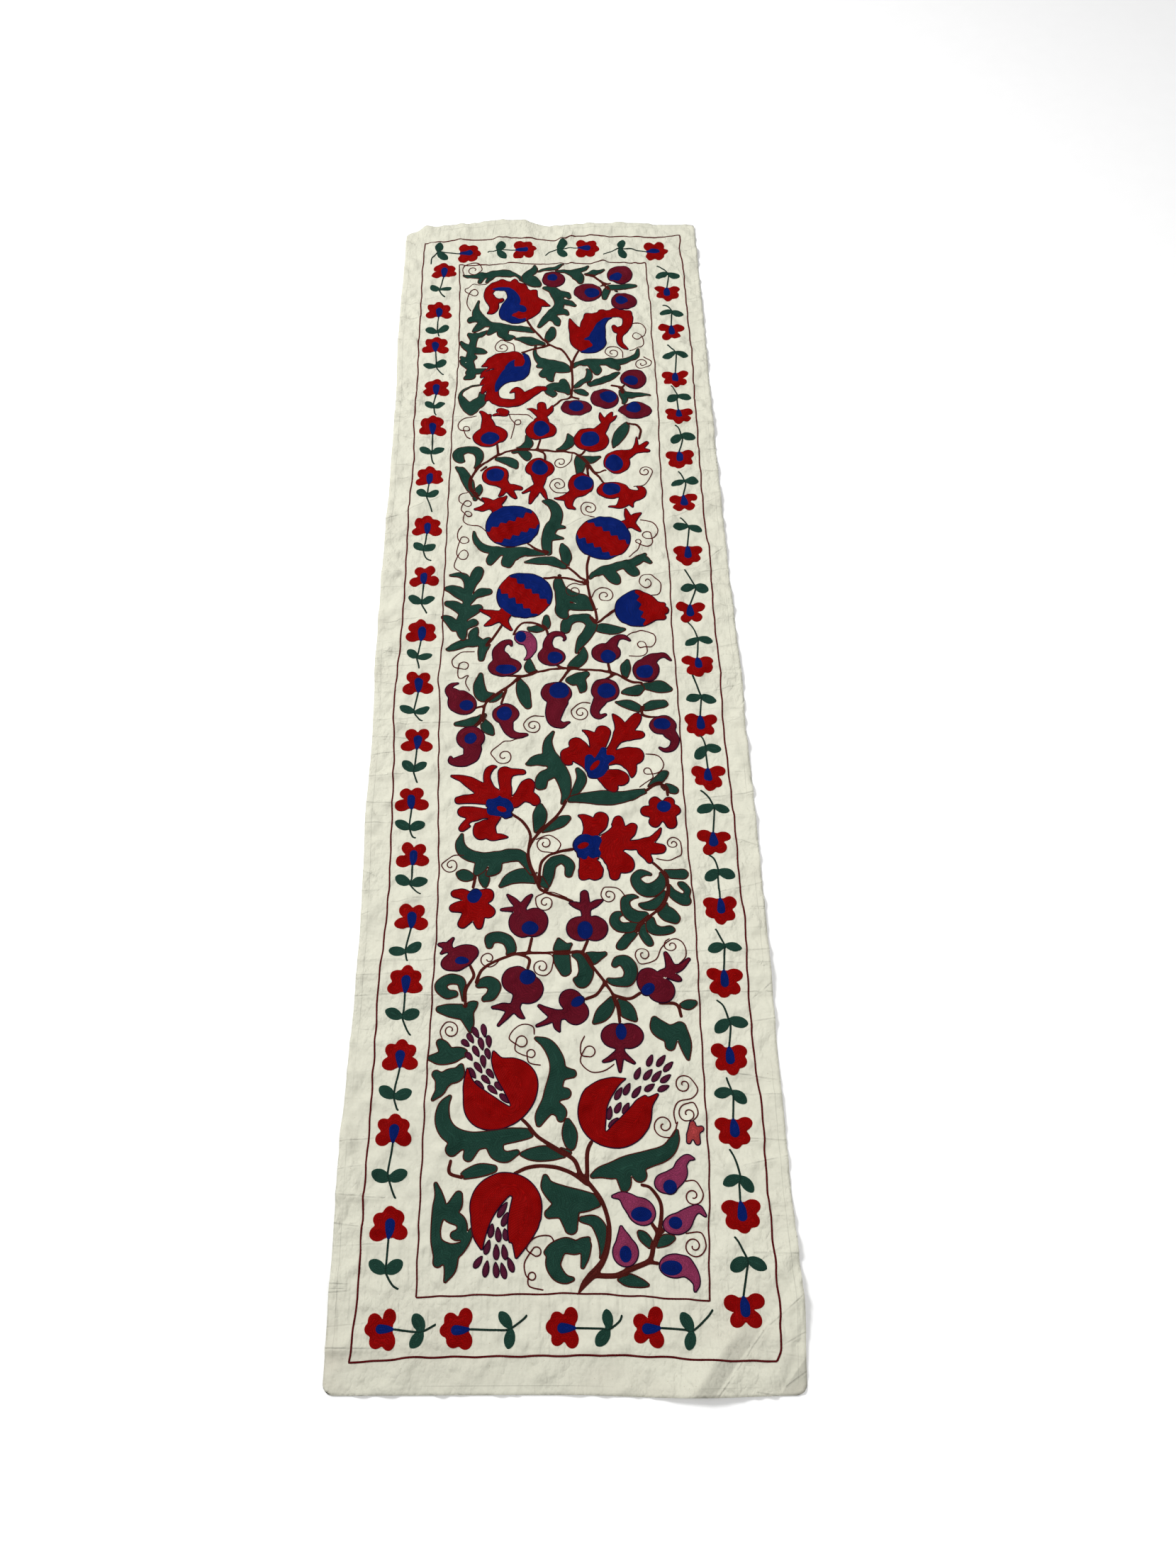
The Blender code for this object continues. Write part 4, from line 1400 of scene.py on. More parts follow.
LEAVES = (
    # Top of the field
    "-147,791,2 -135,788,4.5 -115,788,7 -90,794,7.5 -70,793,7 -55,785,4 -50,776,2 / -113,787,5"
    " -120,774,3.5 / -100,786,5 -108,773,2.5",
    "-50,776,3 -38,790,8 -28,802,6 -27,813,1.5 / -50,776,3 -35,775,11 -25,768,9 -22,763,5",
    "-24,798,1.5 -5,800,3 10,804,3.5 22,811,1",
    "10,797,2 25,796,4 40,790,8 47,780,9 50,770,5 / 40,794,7 55,800,5.5 64,807,1.5",
    "60,785,3 75,790,6 90,798,2",
    "96,755,5 110,753,6.5 128,757,6 141,757,4",
    "96,752,5 92,740,6.5 90,729,4",
    "107,753,2.5 110,742,2",
    "-11,757,3 3,752,8 10,738,10 14,720,8 10,705,9 -2,690,8 -12,678,6 -20,665,3 / 12,740,8 26,740,6"
    " 31,732,3 / 15,722,8 30,720,6 40,713,2.5 / 8,700,9 22,699,6 27,693,3 / -3,688,8 8,680,7"
    " 10,670,5",
    "-121,729,1.5 -124,712,4 -123,695,8 -113,680,8 -98,670,7 -75,665,5.5 -50,661,6 -30,656,5 /"
    " -118,688,8 -130,684,7 -135,680,4 / -112,676,8 -122,664,6 -128,658,2.5 / -88,666,6 -97,657,7"
    " -103,652,4 / -77,662,8 -80,648,9 -72,641,7 -62,641,3",
    "-125,648,6 -128,630,6 -131,610,6 -133,592,6 -130,575,6 -132,562,5 / -126,642,6 -115,650,5"
    " -106,657,2 / -127,638,6 -133,648,5 -136,652,2 / -131,612,6 -140,622,6 -147,630,3 / -130,611,6"
    " -118,612,7 -109,609,4 / -133,592,6 -141,592,5 -147,597,2 / -132,594,6 -126,598,5 / -130,572,6"
    " -141,580,5 -147,589,2 / -130,566,6 -112,567,5.5 -98,571,1.5 / -133,562,6 -130,556,7"
    " -139,551,3",
    "-14,624,4 -30,630,8.5 -45,635,7 -58,637,2.5",
    "-8,630,3.5 -2,642,8 1,654,6.5 0,661,2",
    "-26,618,2 -27,603,3 -20,588,6 -5,578,11 12,572,12 26,566,6 / -8,578,9 -21,575,4 / -2,568,10"
    " -12,558,8 -15,554,5 / -2,562,8 -3,549,6 0,543,3",
    "34,570,3 45,578,6 62,582,7 85,581,7 105,580,7 125,586,5 137,594,4.5 140,606,2 / 65,578,8"
    " 72,565,8 73,558,5 / 95,578,8 103,570,7 106,565,4",
    "35,527,3 46,534,5 58,545,6 60,560,4 57,566,2",
    "60,532,4 80,540,6 95,548,5.5 108,557,1.5",
    "26,515,4 20,530,8 18,540,6 / 20,522,7 4,528,10 -6,520,6 3,511,5",
    "38,518,3.5 46,517,6 54,512,4",
    "110,520,3 113,510,6 126,507,6.5 140,508,4.5 155,507,1.5 / 113,508,6 115,498,4.5 113,491,2.5",
    "-108,534,1.5 -125,533,1.5 -140,526,2 -146,514,3 -141,500,7 -132,485,10 -128,472,5 / -112,516,4"
    " -112,504,8 -120,493,12 -126,482,11",
    # Red crowned fruit
    "-139,375,4 -145,383,8 -145,393,8 -132,399,6 -119,396,8 -113,384,6.5 -115,371,4 -118,361,3",
    "-148,364,2 -140,355,6 -130,336,8.5 -125,320,6 -121,308,3",
    "-111,327,2 -113,317,6 -117,307,5 -118,300,3",
    "-40,424,2 -37,410,7 -45,401,6 -60,394,4 / -50,396,5 -41,386,8 -38,377,4",
    "-86,379,3 -72,376,7 -62,370,8 -57,362,4",
    "24,425,1.5 27,412,7 20,401,6 8,395,3",
    "40,380,4 42,370,9 41,355,6.5 40,345,4 / 44,374,8 58,374,7 72,380,2",
    "94,397,1.5 99,412,7 108,428,9 116,440,4",
    # Banded fruit
    "-15,293,2 -2,288,7 5,272,8.5 3,255,9 -5,238,9 -10,222,8 -10,205,7 -8,197,5 / 0,246,7 16,243,2"
    " / -4,226,7 13,223,2",
    "-118,237,1.5 -116,225,4 -108,211,6 -92,203,7 -60,199,7 -30,197,6 -8,197,4 / -85,197,8"
    " -92,186,7 -94,178,3.5 / -64,192,10 -68,180,9 -67,174,5 / -50,194,7 -55,188,4",
    "-42,180,1.5 -25,182,6 -5,180,8.5 12,172,5 20,170,2.5",
    "12,210,2.5 15,199,7 18,188,8 17,176,5 20,170,3",
    "52,148,3 65,160,6 85,167,7 105,172,6 122,180,7 133,191,2.5 / 134,182,5 140,176,3 / 78,161,9"
    " 86,149,9 90,143,6 / 106,170,8 115,160,8 119,154,4",
    "-151,158,1.5 -141,158,4.5 -131,155,6 -126,145,5 -124,130,6 -125,112,6 -127,98,6 -131,84,7"
    " -133,70,8 -131,56,7 -129,46,3 / -119,128,3 -118,142,6 -113,156,8.5 -110,164,7.5 /"
    " -154,134,4.5 -146,132,8 -136,125,8.5 -127,116,6 / -95,128,5.5 -104,126,7 -114,119,5"
    " -121,110,4 / -152,107,5.5 -143,104,8 -134,97,8 / -109,98,6.5 -117,94,8 -126,86,7 /"
    " -160,82,1.5 -150,78,7 -141,67,8 / -115,73,6.5 -124,69,6 -131,62,5",
    "-110,64,1.5 -114,56,6.5 -115,48,6.5 -106,42,5 / -150,28,3 -140,33,6.5 -128,38,7 -114,38,5.5"
    " -104,38,5 / -92,46,2 -97,38,7 -101,26,7 -103,10,4",
    "8,155,2 6,142,7 10,128,9 25,117,9 42,110,8 54,98,4 / 10,122,9 12,102,10 10,90,9 15,83,5 /"
    " 58,94,3 45,98,6 28,99,6 16,101,6",
    "15,60,7 18,72,8 30,78,6.5 44,78,8 52,68,8 47,54,8 38,40,7 32,28,3.5 30,20,2",
    "58,60,3 70,60,8.5 85,58,7 98,58,2",
    # Buds
    "-36,8,2 -36,-5,7 -32,-12,5.5 -26,-13,3",
    "-50,-25,3 -45,-40,9 -42,-54,8 -38,-65,5",
    "-103,-16,3 -105,-34,8 -100,-48,9 -85,-52,7 -72,-44,3",
    "-135,-94,3 -118,-92,6 -105,-88,6 -97,-80,3",
    "-98,-88,3 -93,-99,8 -86,-108,3",
    "40,28,2 38,12,7.5 30,1,8 20,-7,4",
    "18,-26,4 28,-26,8 42,-18,5 / 34,-26,7 37,-38,6 35,-45,2",
    "100,4,2.5 97,-9,7 96,-22,4",
    "93,-46,3 108,-45,8 117,-41,5",
    "119,-38,4 131,-38,6 143,-38,9 156,-42,4",
    "83,-62,2 99,-65,7 113,-73,5",
    "118,-73,4 131,-67,7 145,-65,6 151,-66,2",
    "-12,80,4 -12,70,6 -12,62,3",
    "-34,60,5 -24,62,6 -16,63,4",
    # Star flowers
    "-4,-107,2 -11,-122,5.5 -9,-142,9 0,-160,11 9,-178,9.5 12,-200,6 8,-214,3 / -6,-150,10"
    " -25,-150,8.5 -38,-156,3 / -8,-170,8 -18,-176,8 -21,-187,8",
    "15,-211,3 35,-207,7 60,-207,10.5 85,-207,9 105,-201,6 116,-198,3",
    "28,-165,3 33,-178,6.5 28,-192,6 20,-206,3",
    "122,-193,3 132,-184,6 140,-176,5.5 146,-171,2",
    "154,-197,5.5 147,-194,6.5 139,-190,3",
    "-22,-218,4 -22,-231,9 -24,-244,7 -27,-254,3",
    "-20,-254,2.5 -8,-248,6 5,-241,7.5 14,-236,4",
    "-123,-258,2 -125,-272,6 -118,-284,8 -100,-291,7.5 -75,-291,9 -50,-288,8 -40,-298,6 -33,-313,3"
    " / -95,-293,8 -98,-304,8 -103,-312,4 / -80,-295,9 -80,-307,8 -88,-315,3",
    "-125,-313,4 -118,-315,8 -108,-318,4",
    "-95,-312,6 -93,-320,7 -92,-328,4",
    "-72,-331,2.5 -60,-320,7.5 -42,-316,10 -26,-322,7 -14,-332,3",
    "-15,-335,3 -12,-318,7 -8,-301,7 5,-294,6 15,-302,6.5 14,-314,5",
    "117,-316,2 112,-314.5,3 104,-315,5.5 98,-322,6 101,-331,7 108,-338,8.5 118,-338,9 127,-331,8"
    " 132,-322,5.5 134,-315,5 / 134,-315,5 145,-316,6 158,-317,6.5",
    "139,-331,2.5 142,-340,5 148,-346,6.5 156,-351,7 160,-353,6 / 160,-347,4 162,-339,4"
    " 157,-332,4.5 153,-329,2.5",
    "102,-358,2 110,-359,5 120,-357,6.5 130,-350,6.5 135,-342,4",
    "133,-354,3 131,-364,8 137,-371,10 144,-376,7",
    "100,-348,1 93,-347,3.5 85,-350,5.5 84,-358,6 87,-367,7.5 96,-373,8 107,-372,6",
    "78,-369,3 72,-371,5 70,-380,6.5 77,-387,7 88,-387,6.5 97,-384,4",
    "114,-377,5 116,-388,7 126,-392,5.5 137,-391,5 140,-391,4",
    "105,-384,4 104,-393,5 109,-403,5.5 112,-408,4.5",
    "94,-393,4.5 87,-400,6 79,-409,6.5 76,-412,5.5",
    # Purple fruit
    "-85,-410,4 -84,-401,6.5 -74,-398,7 -63,-403,7 -58,-415,6 -62,-424,3",
    "0,-402,2 3,-415,9.5 4,-430,10 8,-444,7 / 6,-416,8 15,-409,2",
    "20,-423,4 36,-429,9 56,-422,3 / 31,-432,8 33,-446,9 28,-457,8 20,-456,3",
    "68,-436,4 73,-431,6 82,-434,8 87,-446,8 82,-457,7 70,-459,5 60,-456,3",
    "66,-478,4 53,-495,8.5 41,-507,2",
    "70,-480,4 80,-492,9.5 90,-503,3",
    "-126,-471,4 -136,-471,6 -143,-462,7 -135,-454,6 -120,-455,5.5 -116,-466,4 -114,-478,3",
    "-97,-460,4 -86,-457,7 -78,-463,8 -82,-474,6 -90,-478,3",
    "-144,-489,4 -130,-491,8 -115,-492,9 -105,-486,6 -99,-482,1.5 / -112,-494,9 -108,-506,6"
    " -106,-516,2",
    "146,-487,3 154,-486,6 162,-484,3",
    "113,-504,4 118,-514,10 130,-520,10 143,-513,6 / 132,-522,9 130,-535,6 / 143,-514,7 148,-533,7"
    " 150,-551,2",
    # Open fruit
    "-28,-525,2 -15,-532,6.5 -5,-548,8.5 -3,-565,9 -8,-585,9.5 -12,-600,9.5 -22,-615,7 -25,-625,3 /"
    " 0,-566,9 14,-567,5 / -5,-590,9 6,-590,6.5 / -10,-604,8 0,-611,7 0,-619,4",
    "-128,-593,2 -135,-605,6.5 -135,-622,9 -125,-636,10 -105,-643,10 -80,-641,9 -55,-637,8"
    " -37,-635,5.5 -30,-634,2 / -115,-643,9 -124,-653,7 / -100,-647,9 -105,-660,6 / -76,-646,10"
    " -72,-657,8 -62,-661,6 -50,-656,3",
    "-76,-674,4 -90,-675,7 -105,-679,5.5 -112,-682,3",
    "-44,-658,2.5 -30,-658,7.5 -10,-657,8 8,-657,4",
    "8,-622,3.5 10,-635,8.5 11,-646,6.5 12,-651,3",
    "-153,-548,3 -141,-548,7.5 -128,-545,9 -116,-542,6.5 -109,-545,2.5 / -132,-545,8 -137,-535,7"
    " -141,-530,5",
    "-148,-597,1.5 -140,-587,5.5 -137,-577,8 -130,-570,9 -120,-567,8 -116,-558,3 / -136,-575,8"
    " -145,-567,5",
    "132,-633,2 128,-645,6 118,-657,8 95,-665,9.5 75,-670,10 58,-676,9 45,-678,6 35,-682,2.5 /"
    " 82,-670,10 88,-681,8 / 69,-678,9 71,-690,7 70,-696,4",
    "-141,-690,2 -137,-702,4.5 -136,-716,7.5 -139,-735,5.5 -138,-750,6 -132,-762,9 -136,-772,5 /"
    " -115,-702,4.5 -118,-712,7.5 -124,-722,8 -112,-730,6 -110,-740,5.5 -115,-744,5.5 -119,-744,4 /"
    " -132,-760,9 -118,-760,8 -107,-752,5 -101,-742,3 -99,-736,1.2 / -122,-764,9 -122,-778,6.5"
    " -127,-791,1.5 ! -112,-750.5,1 -122,-751,1.8 -129,-746,2.6 -131,-739,3 -128,-735,3"
    " -123,-735,2.6",
    "-18,-683,3 -15,-694,7.5 0,-704,12 20,-709,12 38,-709,7 / 2,-715,12 -14,-722,5 / 8,-724,11"
    " 10,-737,7",
    "22,-728,3 37,-731,6.5 45,-745,7 46,-760,5 43,-771,3",
    "-17,-762,3 -9,-759,7 3,-755,8 15,-757,7 23,-753,6 29,-748,2 / 26,-755,6 25,-766,4.5 22,-777,2"
    " / -7,-762,9 -10,-774,8 -5,-784,7 3,-789,4.5 11,-789,2",
    "62,-789,3 71,-790,6.5 84,-793,4.5 92,-795,1.5",
    "85,-742,2.5 90,-747,5.5 98,-756,4",
    "121,-748,3 113,-750,6 104,-755,3",
)

# Curling tendrils: points of the line, x,y,r for a loop round x,y, and a last x,y,r,turns
# for a spiral round x,y
TENDRILS = (
    "-147,792 -150,808 -131,805,14,1.6",
    "-108,769 -130,765 -143,758 -143,748 -129,748,8 -140,735 -140,718 -133,704",
    "-60,608 -62,625 -80,619,11,1.8",
    "115,590 115,603 99,602,12,1.8",
    "148,592 160,582 146,577,11,1.7",
    "130,668 148,665 155,655 152,640 140,637,9 150,620 138,610 126,606",
    "-118,464 -136,461 -147,450 -145,438 -134,438,6 -134,424 -127,419",
    "-92,467 -60,468 -38,463 -30,453",
    "-68,470 -65,458 -54,449,6 -60,440 -65,417",
    "30,388 28,372 12,370,9,1.6",
    "27,309 10,310 8,325,12,1.8",
    "121,320 138,323 150,342 140,347,9,1.6",
    "-112,309 -128,313 -141,305 -141,294 -129,292,7 -138,282 -137,276 -127,271,6 -135,260 -126,251"
    " -108,246 -100,238",
    "128,256 146,250 154,235 148,222 137,226,8 145,213 137,204 124,213,5 122,198 109,186",
    "62,262 48,266 54,279,11,1.7",
    "-136,251 -142,238 -142,226 -132,222,8 -142,208 -143,198 -133,194,9 -145,182 -145,172 -135,163"
    " -128,157",
    "46,136 38,137 28,127,10,1.7",
    "52,112 58,124 72,118,12,1.7",
    "137,117 150,120 153,136 133,138,11,1.5",
    "-112,24 -132,22 -143,8 -140,-5 -127,-1,8 -135,-16 -130,-22 -120,-18 -124,-28 -118,-40",
    "100,46 120,56 138,50 141,38 134,28 121,32,7 128,18 118,12 102,13",
    "-15,-82 -32,-82 -43,-93 -31,-97,11,1.7",
    "48,-63 34,-62 22,-72 34,-77,10,1.7",
    "-48,-118 -70,-122 -87,-136 -70,-143,10,1.5",
    "118,-143 135,-145 142,-158 136,-171 120,-168,6 126,-180 108,-192",
    "-118,-288 -132,-288 -147,-298 -136,-301,8,1.5",
    "-28,-266 -10,-260 4,-272 -2,-284 -16,-272,9,1.6",
    "125,-294 142,-298 157,-290 158,-276 148,-274,9,1.6",
    "12,-348 -8,-339 -26,-344 -16,-353,9,1.6",
    "86,-348 76,-335 60,-333 64,-344,8,1.6",
    "-72,-427 -86,-427,9,1.5",
    "-28,-419 -8,-424 -8,-438 -21,-439,9,1.7",
    "145,-437 155,-425 152,-408 140,-403 126,-414 118,-430 100,-436 103,-424,8,1.5",
    "137,-402 138,-412,8,1.3",
    "-138,-528 -142,-516 -136,-506 -130,-515,9,1.5",
    "-30,-521 -32,-511 -48,-510 -60,-524 -45,-529,8 -52,-540 -34,-543,6 -36,-554 -22,-557",
    "30,-522 25,-532 25,-545 35,-541,8 24,-553 36,-565 52,-564 64,-556",
    "132,-626 130,-612 136,-600 152,-596 159,-586 152,-574 143,-581,9,1.5",
    "134,-622 128,-638 118,-627,10,1.6",
    "149,-624 157,-615 154,-602 146,-614,9,1.5",
    "138,-688 150,-688 157,-700 146,-704,8,1.4",
    "135,-743 152,-742 157,-754 144,-756,9,1.6",
    "-8,-752 -14,-745 -30,-747 -39,-758 -28,-761,6 -41,-772 -40,-784 -33,-786,5 -36,-796 -20,-800",
)
LOOP_SHARE = 0.8
SPIRAL_WIDEST = 1.4
SPIRAL_END = 1.6
RING_PIECES = 10
TENDRIL_WIDTH = 1.8
OUTER_WIDTH = 2.5
INNER_WIDTH = 2.2
EDGE_WIDTH = 1.9
SEED_EDGE_WIDTH = 1.2
SPRIG_STEM_WIDTH = 2.7

# Unevenness of the frame lines: spacing of their points, sway and its pace
LINE_PIECE = 12.0
LINE_SWAY = 0.5
LINE_PACE = 1.7


def drawn(text, half_width=STEM_HALF_WIDTH):
    """Strokes and ovals from a row of a table."""
    shape = []
    for part in text.split("/"):
        points = number_rows(part)
        if len(points) == 1 and len(points[0]) > 3:
            shape.append(Oval(*points[0]))
        elif points:
            shape.append([point if len(point) == 3 else (*point, half_width) for point in points])
    return shape


def ring(x, y, start, radii, turns):
    """Points that wind round x, y from an angle, with the radius going down evenly."""
    count = max(int(abs(turns) * RING_PIECES), 8)
    share = np.linspace(0, 1, count + 1)
    angle = start + 2 * pi * turns * share
    radius = radii[0] + (radii[1] - radii[0]) * share
    return np.column_stack((x + radius * np.cos(angle), y + radius * np.sin(angle)))


def touch_angle(x, y, radius, turn):
    """Angle at which a line from x, y touches a circle round 0, 0 that then turns one way."""
    return atan2(y, x) + turn * acos(min(radius / hypot(x, y), 1.0))


def tendril_line(text):
    """Line of a tendril, with its loops and its spiral."""
    rows = number_rows(text)
    line = []
    for k, row in enumerate(rows):
        x, y = row[:2]
        if len(row) == 2:
            line.append((x, y))
            continue
        last_x, last_y = line[-1]
        if len(row) == 3:
            size = row[2] * LOOP_SHARE
            next_x, next_y = rows[k + 1][:2]
            left = (next_x - last_x) * (y - last_y) > (next_y - last_y) * (x - last_x)
            turn = 1 if left else -1
            start = touch_angle(last_x - x, last_y - y, size, turn)
            sweep = turn * (touch_angle(next_x - x, next_y - y, size, -turn) - start) / (2 * pi) % 1
            line += ring(x, y, start, (size, size), turn * (sweep + (sweep < 0.5))).tolist()
            continue
        start = atan2(last_y - y, last_x - x)
        radius, turns = row[2:]
        before_x, before_y = line[-2] if len(line) > 1 else (last_x + 1, last_y)
        swing = (last_x - before_x) * (y - last_y) - (last_y - before_y) * (x - last_x)
        widest = min(radius * SPIRAL_WIDEST, hypot(last_x - x, last_y - y))
        wound = ring(x, y, start, (widest, SPIRAL_END), turns if swing > 0 else -turns)
        line += wound[1:].tolist()
    return curve(line)


# Ways the upper petals of a border flower face, in degrees
UPPER_PETALS = ((-54, -2, 52), (-46, 4, 58), (-58, -4, 48), (-36, 36))
# Ranges that each border sprig's sizes are drawn from, in millimetres and degrees
SIDE_PETAL = ((-7.5, -5.5), (10.5, 12.0), (7.2, 8.2), (8.6, 9.8), (-5, 20))
UPPER_PETAL = ((-6, 6), (11.4, 12.8), (7.6, 8.8), (7.0, 8.2))
HEART = ((-1, 1), (4.0, 5.0), (5.0, 6.0))
LEAF = ((18.5, 21.0), (6.4, 7.6), (46, 80))
TILT = (-9, 9)
SWAY = (-2, 2)
CORE = Oval(-0.5, 0, 11.0, 9.5)
# Outline of a border leaf: shares of its length and of its half width
LEAF_OUTLINE = ((0.35, 0.85), (0.6, 1.0), (0.8, 0.8), (1.0, 0.35))
LEAF_FOOT = (2, 0, 2.6)
LEAF_SCALE = 0.93
# Places along a sprig, ahead of its flower's or leaf pair's middle
STEM_TOP = -11
LEAF_NODE = -7
STEM_RISE = 9
STEM_BEND = -4


def draws(draw, ranges):
    """A number from each range."""
    return [draw.uniform(*ends) for ends in ranges]


def border_head(draw):
    """Flower seen from the side, facing +X, with broad side petals, and its heart."""
    petals = [CORE]
    for side in (-1, 1):
        ahead, over, rx, ry, turn = draws(draw, SIDE_PETAL)
        petals.append(Oval(ahead, side * over, rx, ry, side * turn))
    for angle in UPPER_PETALS[draw.integers(len(UPPER_PETALS))]:
        turn, reach, rx, ry = draws(draw, UPPER_PETAL)
        angle = radians(angle + turn)
        petals.append(Oval(reach * cos(angle), reach * sin(angle), rx, ry, degrees(angle)))
    lean, waist, end = draws(draw, HEART)
    return petals, [((-10.5, 0, 2.0), (-4, lean, waist), (3, lean, end))]


def leaf_pair(draw):
    """Two broad leaves that spread from 0, 0 towards +X."""
    leaves = []
    for side in (-1, 1):
        length, width, spread = draws(draw, LEAF)
        blade = [LEAF_FOOT] + [(at * length, 0, share * width) for at, share in LEAF_OUTLINE]
        leaves += placed([blade], 0, 0, side * spread)
    return leaves


def stitch_sprig(works, sprig, aim, size, draw):
    """One border flower with its leaf pair and stem."""
    red, blue, green, ink = works
    petals, heart = border_head(draw)
    head = (sprig.head_x, sprig.head_y, aim)
    stitch_motif([(red, placed(petals, *head, size)), (blue, placed(heart, *head, size))])
    node = turned(sprig.leaf_x, sprig.leaf_y, aim, LEAF_NODE, 0)
    leaves = placed(leaf_pair(draw), *node, aim + draw.uniform(*TILT), size * LEAF_SCALE)
    stitch_motif([(green, leaves)])
    base = turned(*head, STEM_TOP * size, 0)
    tail = (sprig.tail_x, sprig.tail_y)
    halfway = ((node[0] + tail[0]) / 2, (node[1] + tail[1]) / 2)
    bend = turned(*halfway, aim, STEM_BEND, draw.uniform(*SWAY))
    rise = turned(*node, aim, STEM_RISE, draw.uniform(*SWAY))
    lay_cord(ink, curve((base, rise, node, bend, tail)), SPRIG_STEM_WIDTH)


def seed_drop(half):
    """Stroke of a seed about 0, 0 with its tip towards +X, for half its length."""
    width = SEED_HALF_WIDTH
    return [
        (3 - half, 0, 2), (-half * 0.25, 0, width), (half * 0.3, 0, width * 0.85), (half, 0, 0.4)
    ]


def stitch_bloom(works, row):
    """One flower or fruit of the field, edged in navy."""
    bloom = Bloom(*(part.strip() for part in row.split("|")))
    layers = [(works[bloom.thread], drawn(bloom.body))]
    if bloom.heart:
        layers.append((works["blue"], drawn(bloom.heart)))
    if bloom.eye:
        layers.append((works["red"], drawn(bloom.eye)))
    stitch_motif(layers, works["navy"], EDGE_WIDTH, drawn(bloom.bare))


# ---------------------------------------------------------------------------
# Operators
# ---------------------------------------------------------------------------
class RUNNER_OT_cloth(bpy.types.Operator):
    """Make the ground cloth with its folds and hem"""

    bl_idname = "runner.cloth"
    bl_label = "Ground Cloth"

    def execute(self, context):
        ground = surface()
        middle_x, middle_y = SURFACE["middle"]
        tall, wide = ground.x.shape
        x, y, top = ground.x - middle_x, ground.y - middle_y, ground.top
        fine = np.column_stack((x.ravel(), y.ravel(), top.ravel()))
        low_x, low_y, low_z = (values[::COARSE, ::COARSE] for values in (x, y, ground.under))
        low = np.column_stack((low_x.ravel(), low_y.ravel(), low_z.ravel()))
        index = np.arange(tall * wide).reshape(tall, wide)
        low_index = len(fine) + np.arange(low_x.size).reshape(low_x.shape)
        faces = quads(index) + [face[::-1] for face in quads(low_index)]
        faces += rim_faces(index, low_index)
        mesh = bpy.data.meshes.new("cloth_ground")
        mesh.from_pydata(np.vstack((fine, low)).tolist(), [], faces)
        for label, mark in ground.marks.items():
            values = np.concatenate((mark.ravel(), mark[::COARSE, ::COARSE].ravel()))
            mesh.attributes.new(label, "FLOAT", "POINT").data.foreach_set("value", values)
        piece = link_piece("cloth_ground", mesh, cotton_material())
        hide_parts("suzani_cloth")
        return {"FINISHED"}


def quads(index):
    """Quads between the points of a grid, facing up."""
    corners = (index[:-1, :-1], index[:-1, 1:], index[1:, 1:], index[1:, :-1])
    return np.stack([corner.ravel() for corner in corners], 1).tolist()


def rim_faces(index, low_index):
    """Faces round the rim, each from one coarse edge below to the fine edges above it."""
    sides = (
        (index[0, :], low_index[0, :]), (index[:, -1], low_index[:, -1]),
        (index[-1, ::-1], low_index[-1, ::-1]), (index[::-1, 0], low_index[::-1, 0]),
    )
    faces = []
    for fine, coarse in sides:
        for k in range(len(coarse) - 1):
            upper = fine[COARSE * k:COARSE * (k + 1) + 1].tolist()
            faces.append(upper[::-1] + [int(coarse[k]), int(coarse[k + 1])])
    return faces


class RUNNER_OT_frame_lines(bpy.types.Operator):
    """Stitch the two frame lines"""

    bl_idname = "runner.frame_lines"
    bl_label = "Frame Lines"

    def execute(self, context):
        work = Needlework("frame_lines", "frame")
        for text, width in ((OUTER_LINE, OUTER_WIDTH), (INNER_LINE, INNER_WIDTH)):
            loop = []
            for side in drawn(text):
                side = even_steps(np.array(side)[:, :2], LINE_PIECE)
                wave = np.sin(np.arange(len(side)) * LINE_PACE) * LINE_SWAY
                wave[[0, -2, -1]] = 0
                loop.append(curve(side + np.column_stack((wave, np.roll(wave, 1))), 4)[:-1])
            lay_cord(work, np.vstack(loop), width, closed=True)
        work.finish()
        return {"FINISHED"}


class RUNNER_OT_border(bpy.types.Operator):
    """Stitch the border's flower sprigs"""

    bl_idname = "runner.border"
    bl_label = "Border Sprigs"

    def execute(self, context):
        names = (("border_petals", "red"), ("border_hearts", "blue"),
                 ("border_leaves", "green"), ("border_stems", "ink"))
        works = [Needlework(name, thread) for name, thread in names]
        draw = np.random.default_rng(BORDER_SEED)
        for aim, size, sprigs in SPRIG_SIDES:
            for row in number_rows(sprigs):
                stitch_sprig(works, Sprig(*row), aim, size, draw)
        for work in works:
            work.finish()
        return {"FINISHED"}


class RUNNER_OT_flowers(bpy.types.Operator):
    """Stitch the flowers, buds and fruit of the field"""

    bl_idname = "runner.flowers"
    bl_label = "Flowers and Fruit"

    def execute(self, context):
        threads = ("red", "blue", "purple", "pink", "coral", "navy")
        works = {thread: Needlework("flowers_" + thread, thread) for thread in threads}
        groups = (TULIPS, BERRIES, CROWNED_FRUIT, BUDS, STAR_FLOWERS, ROUND_FRUIT, SMALL_BUDS,
                  OPEN_FRUIT)
        for group in groups:
            for row in group:
                stitch_bloom(works, row)
        for row in BANDED_FRUIT:
            body, crown, caps = row.split("|")
            oval = Oval(*number_rows(body)[0])
            caps = [Cap(oval, *cap) for cap in number_rows(caps)]
            layers = [(works["red"], [oval] + drawn(crown)), (works["blue"], caps)]
            stitch_motif(layers, works["navy"], EDGE_WIDTH)
        for work in works.values():
            work.finish()
        return {"FINISHED"}


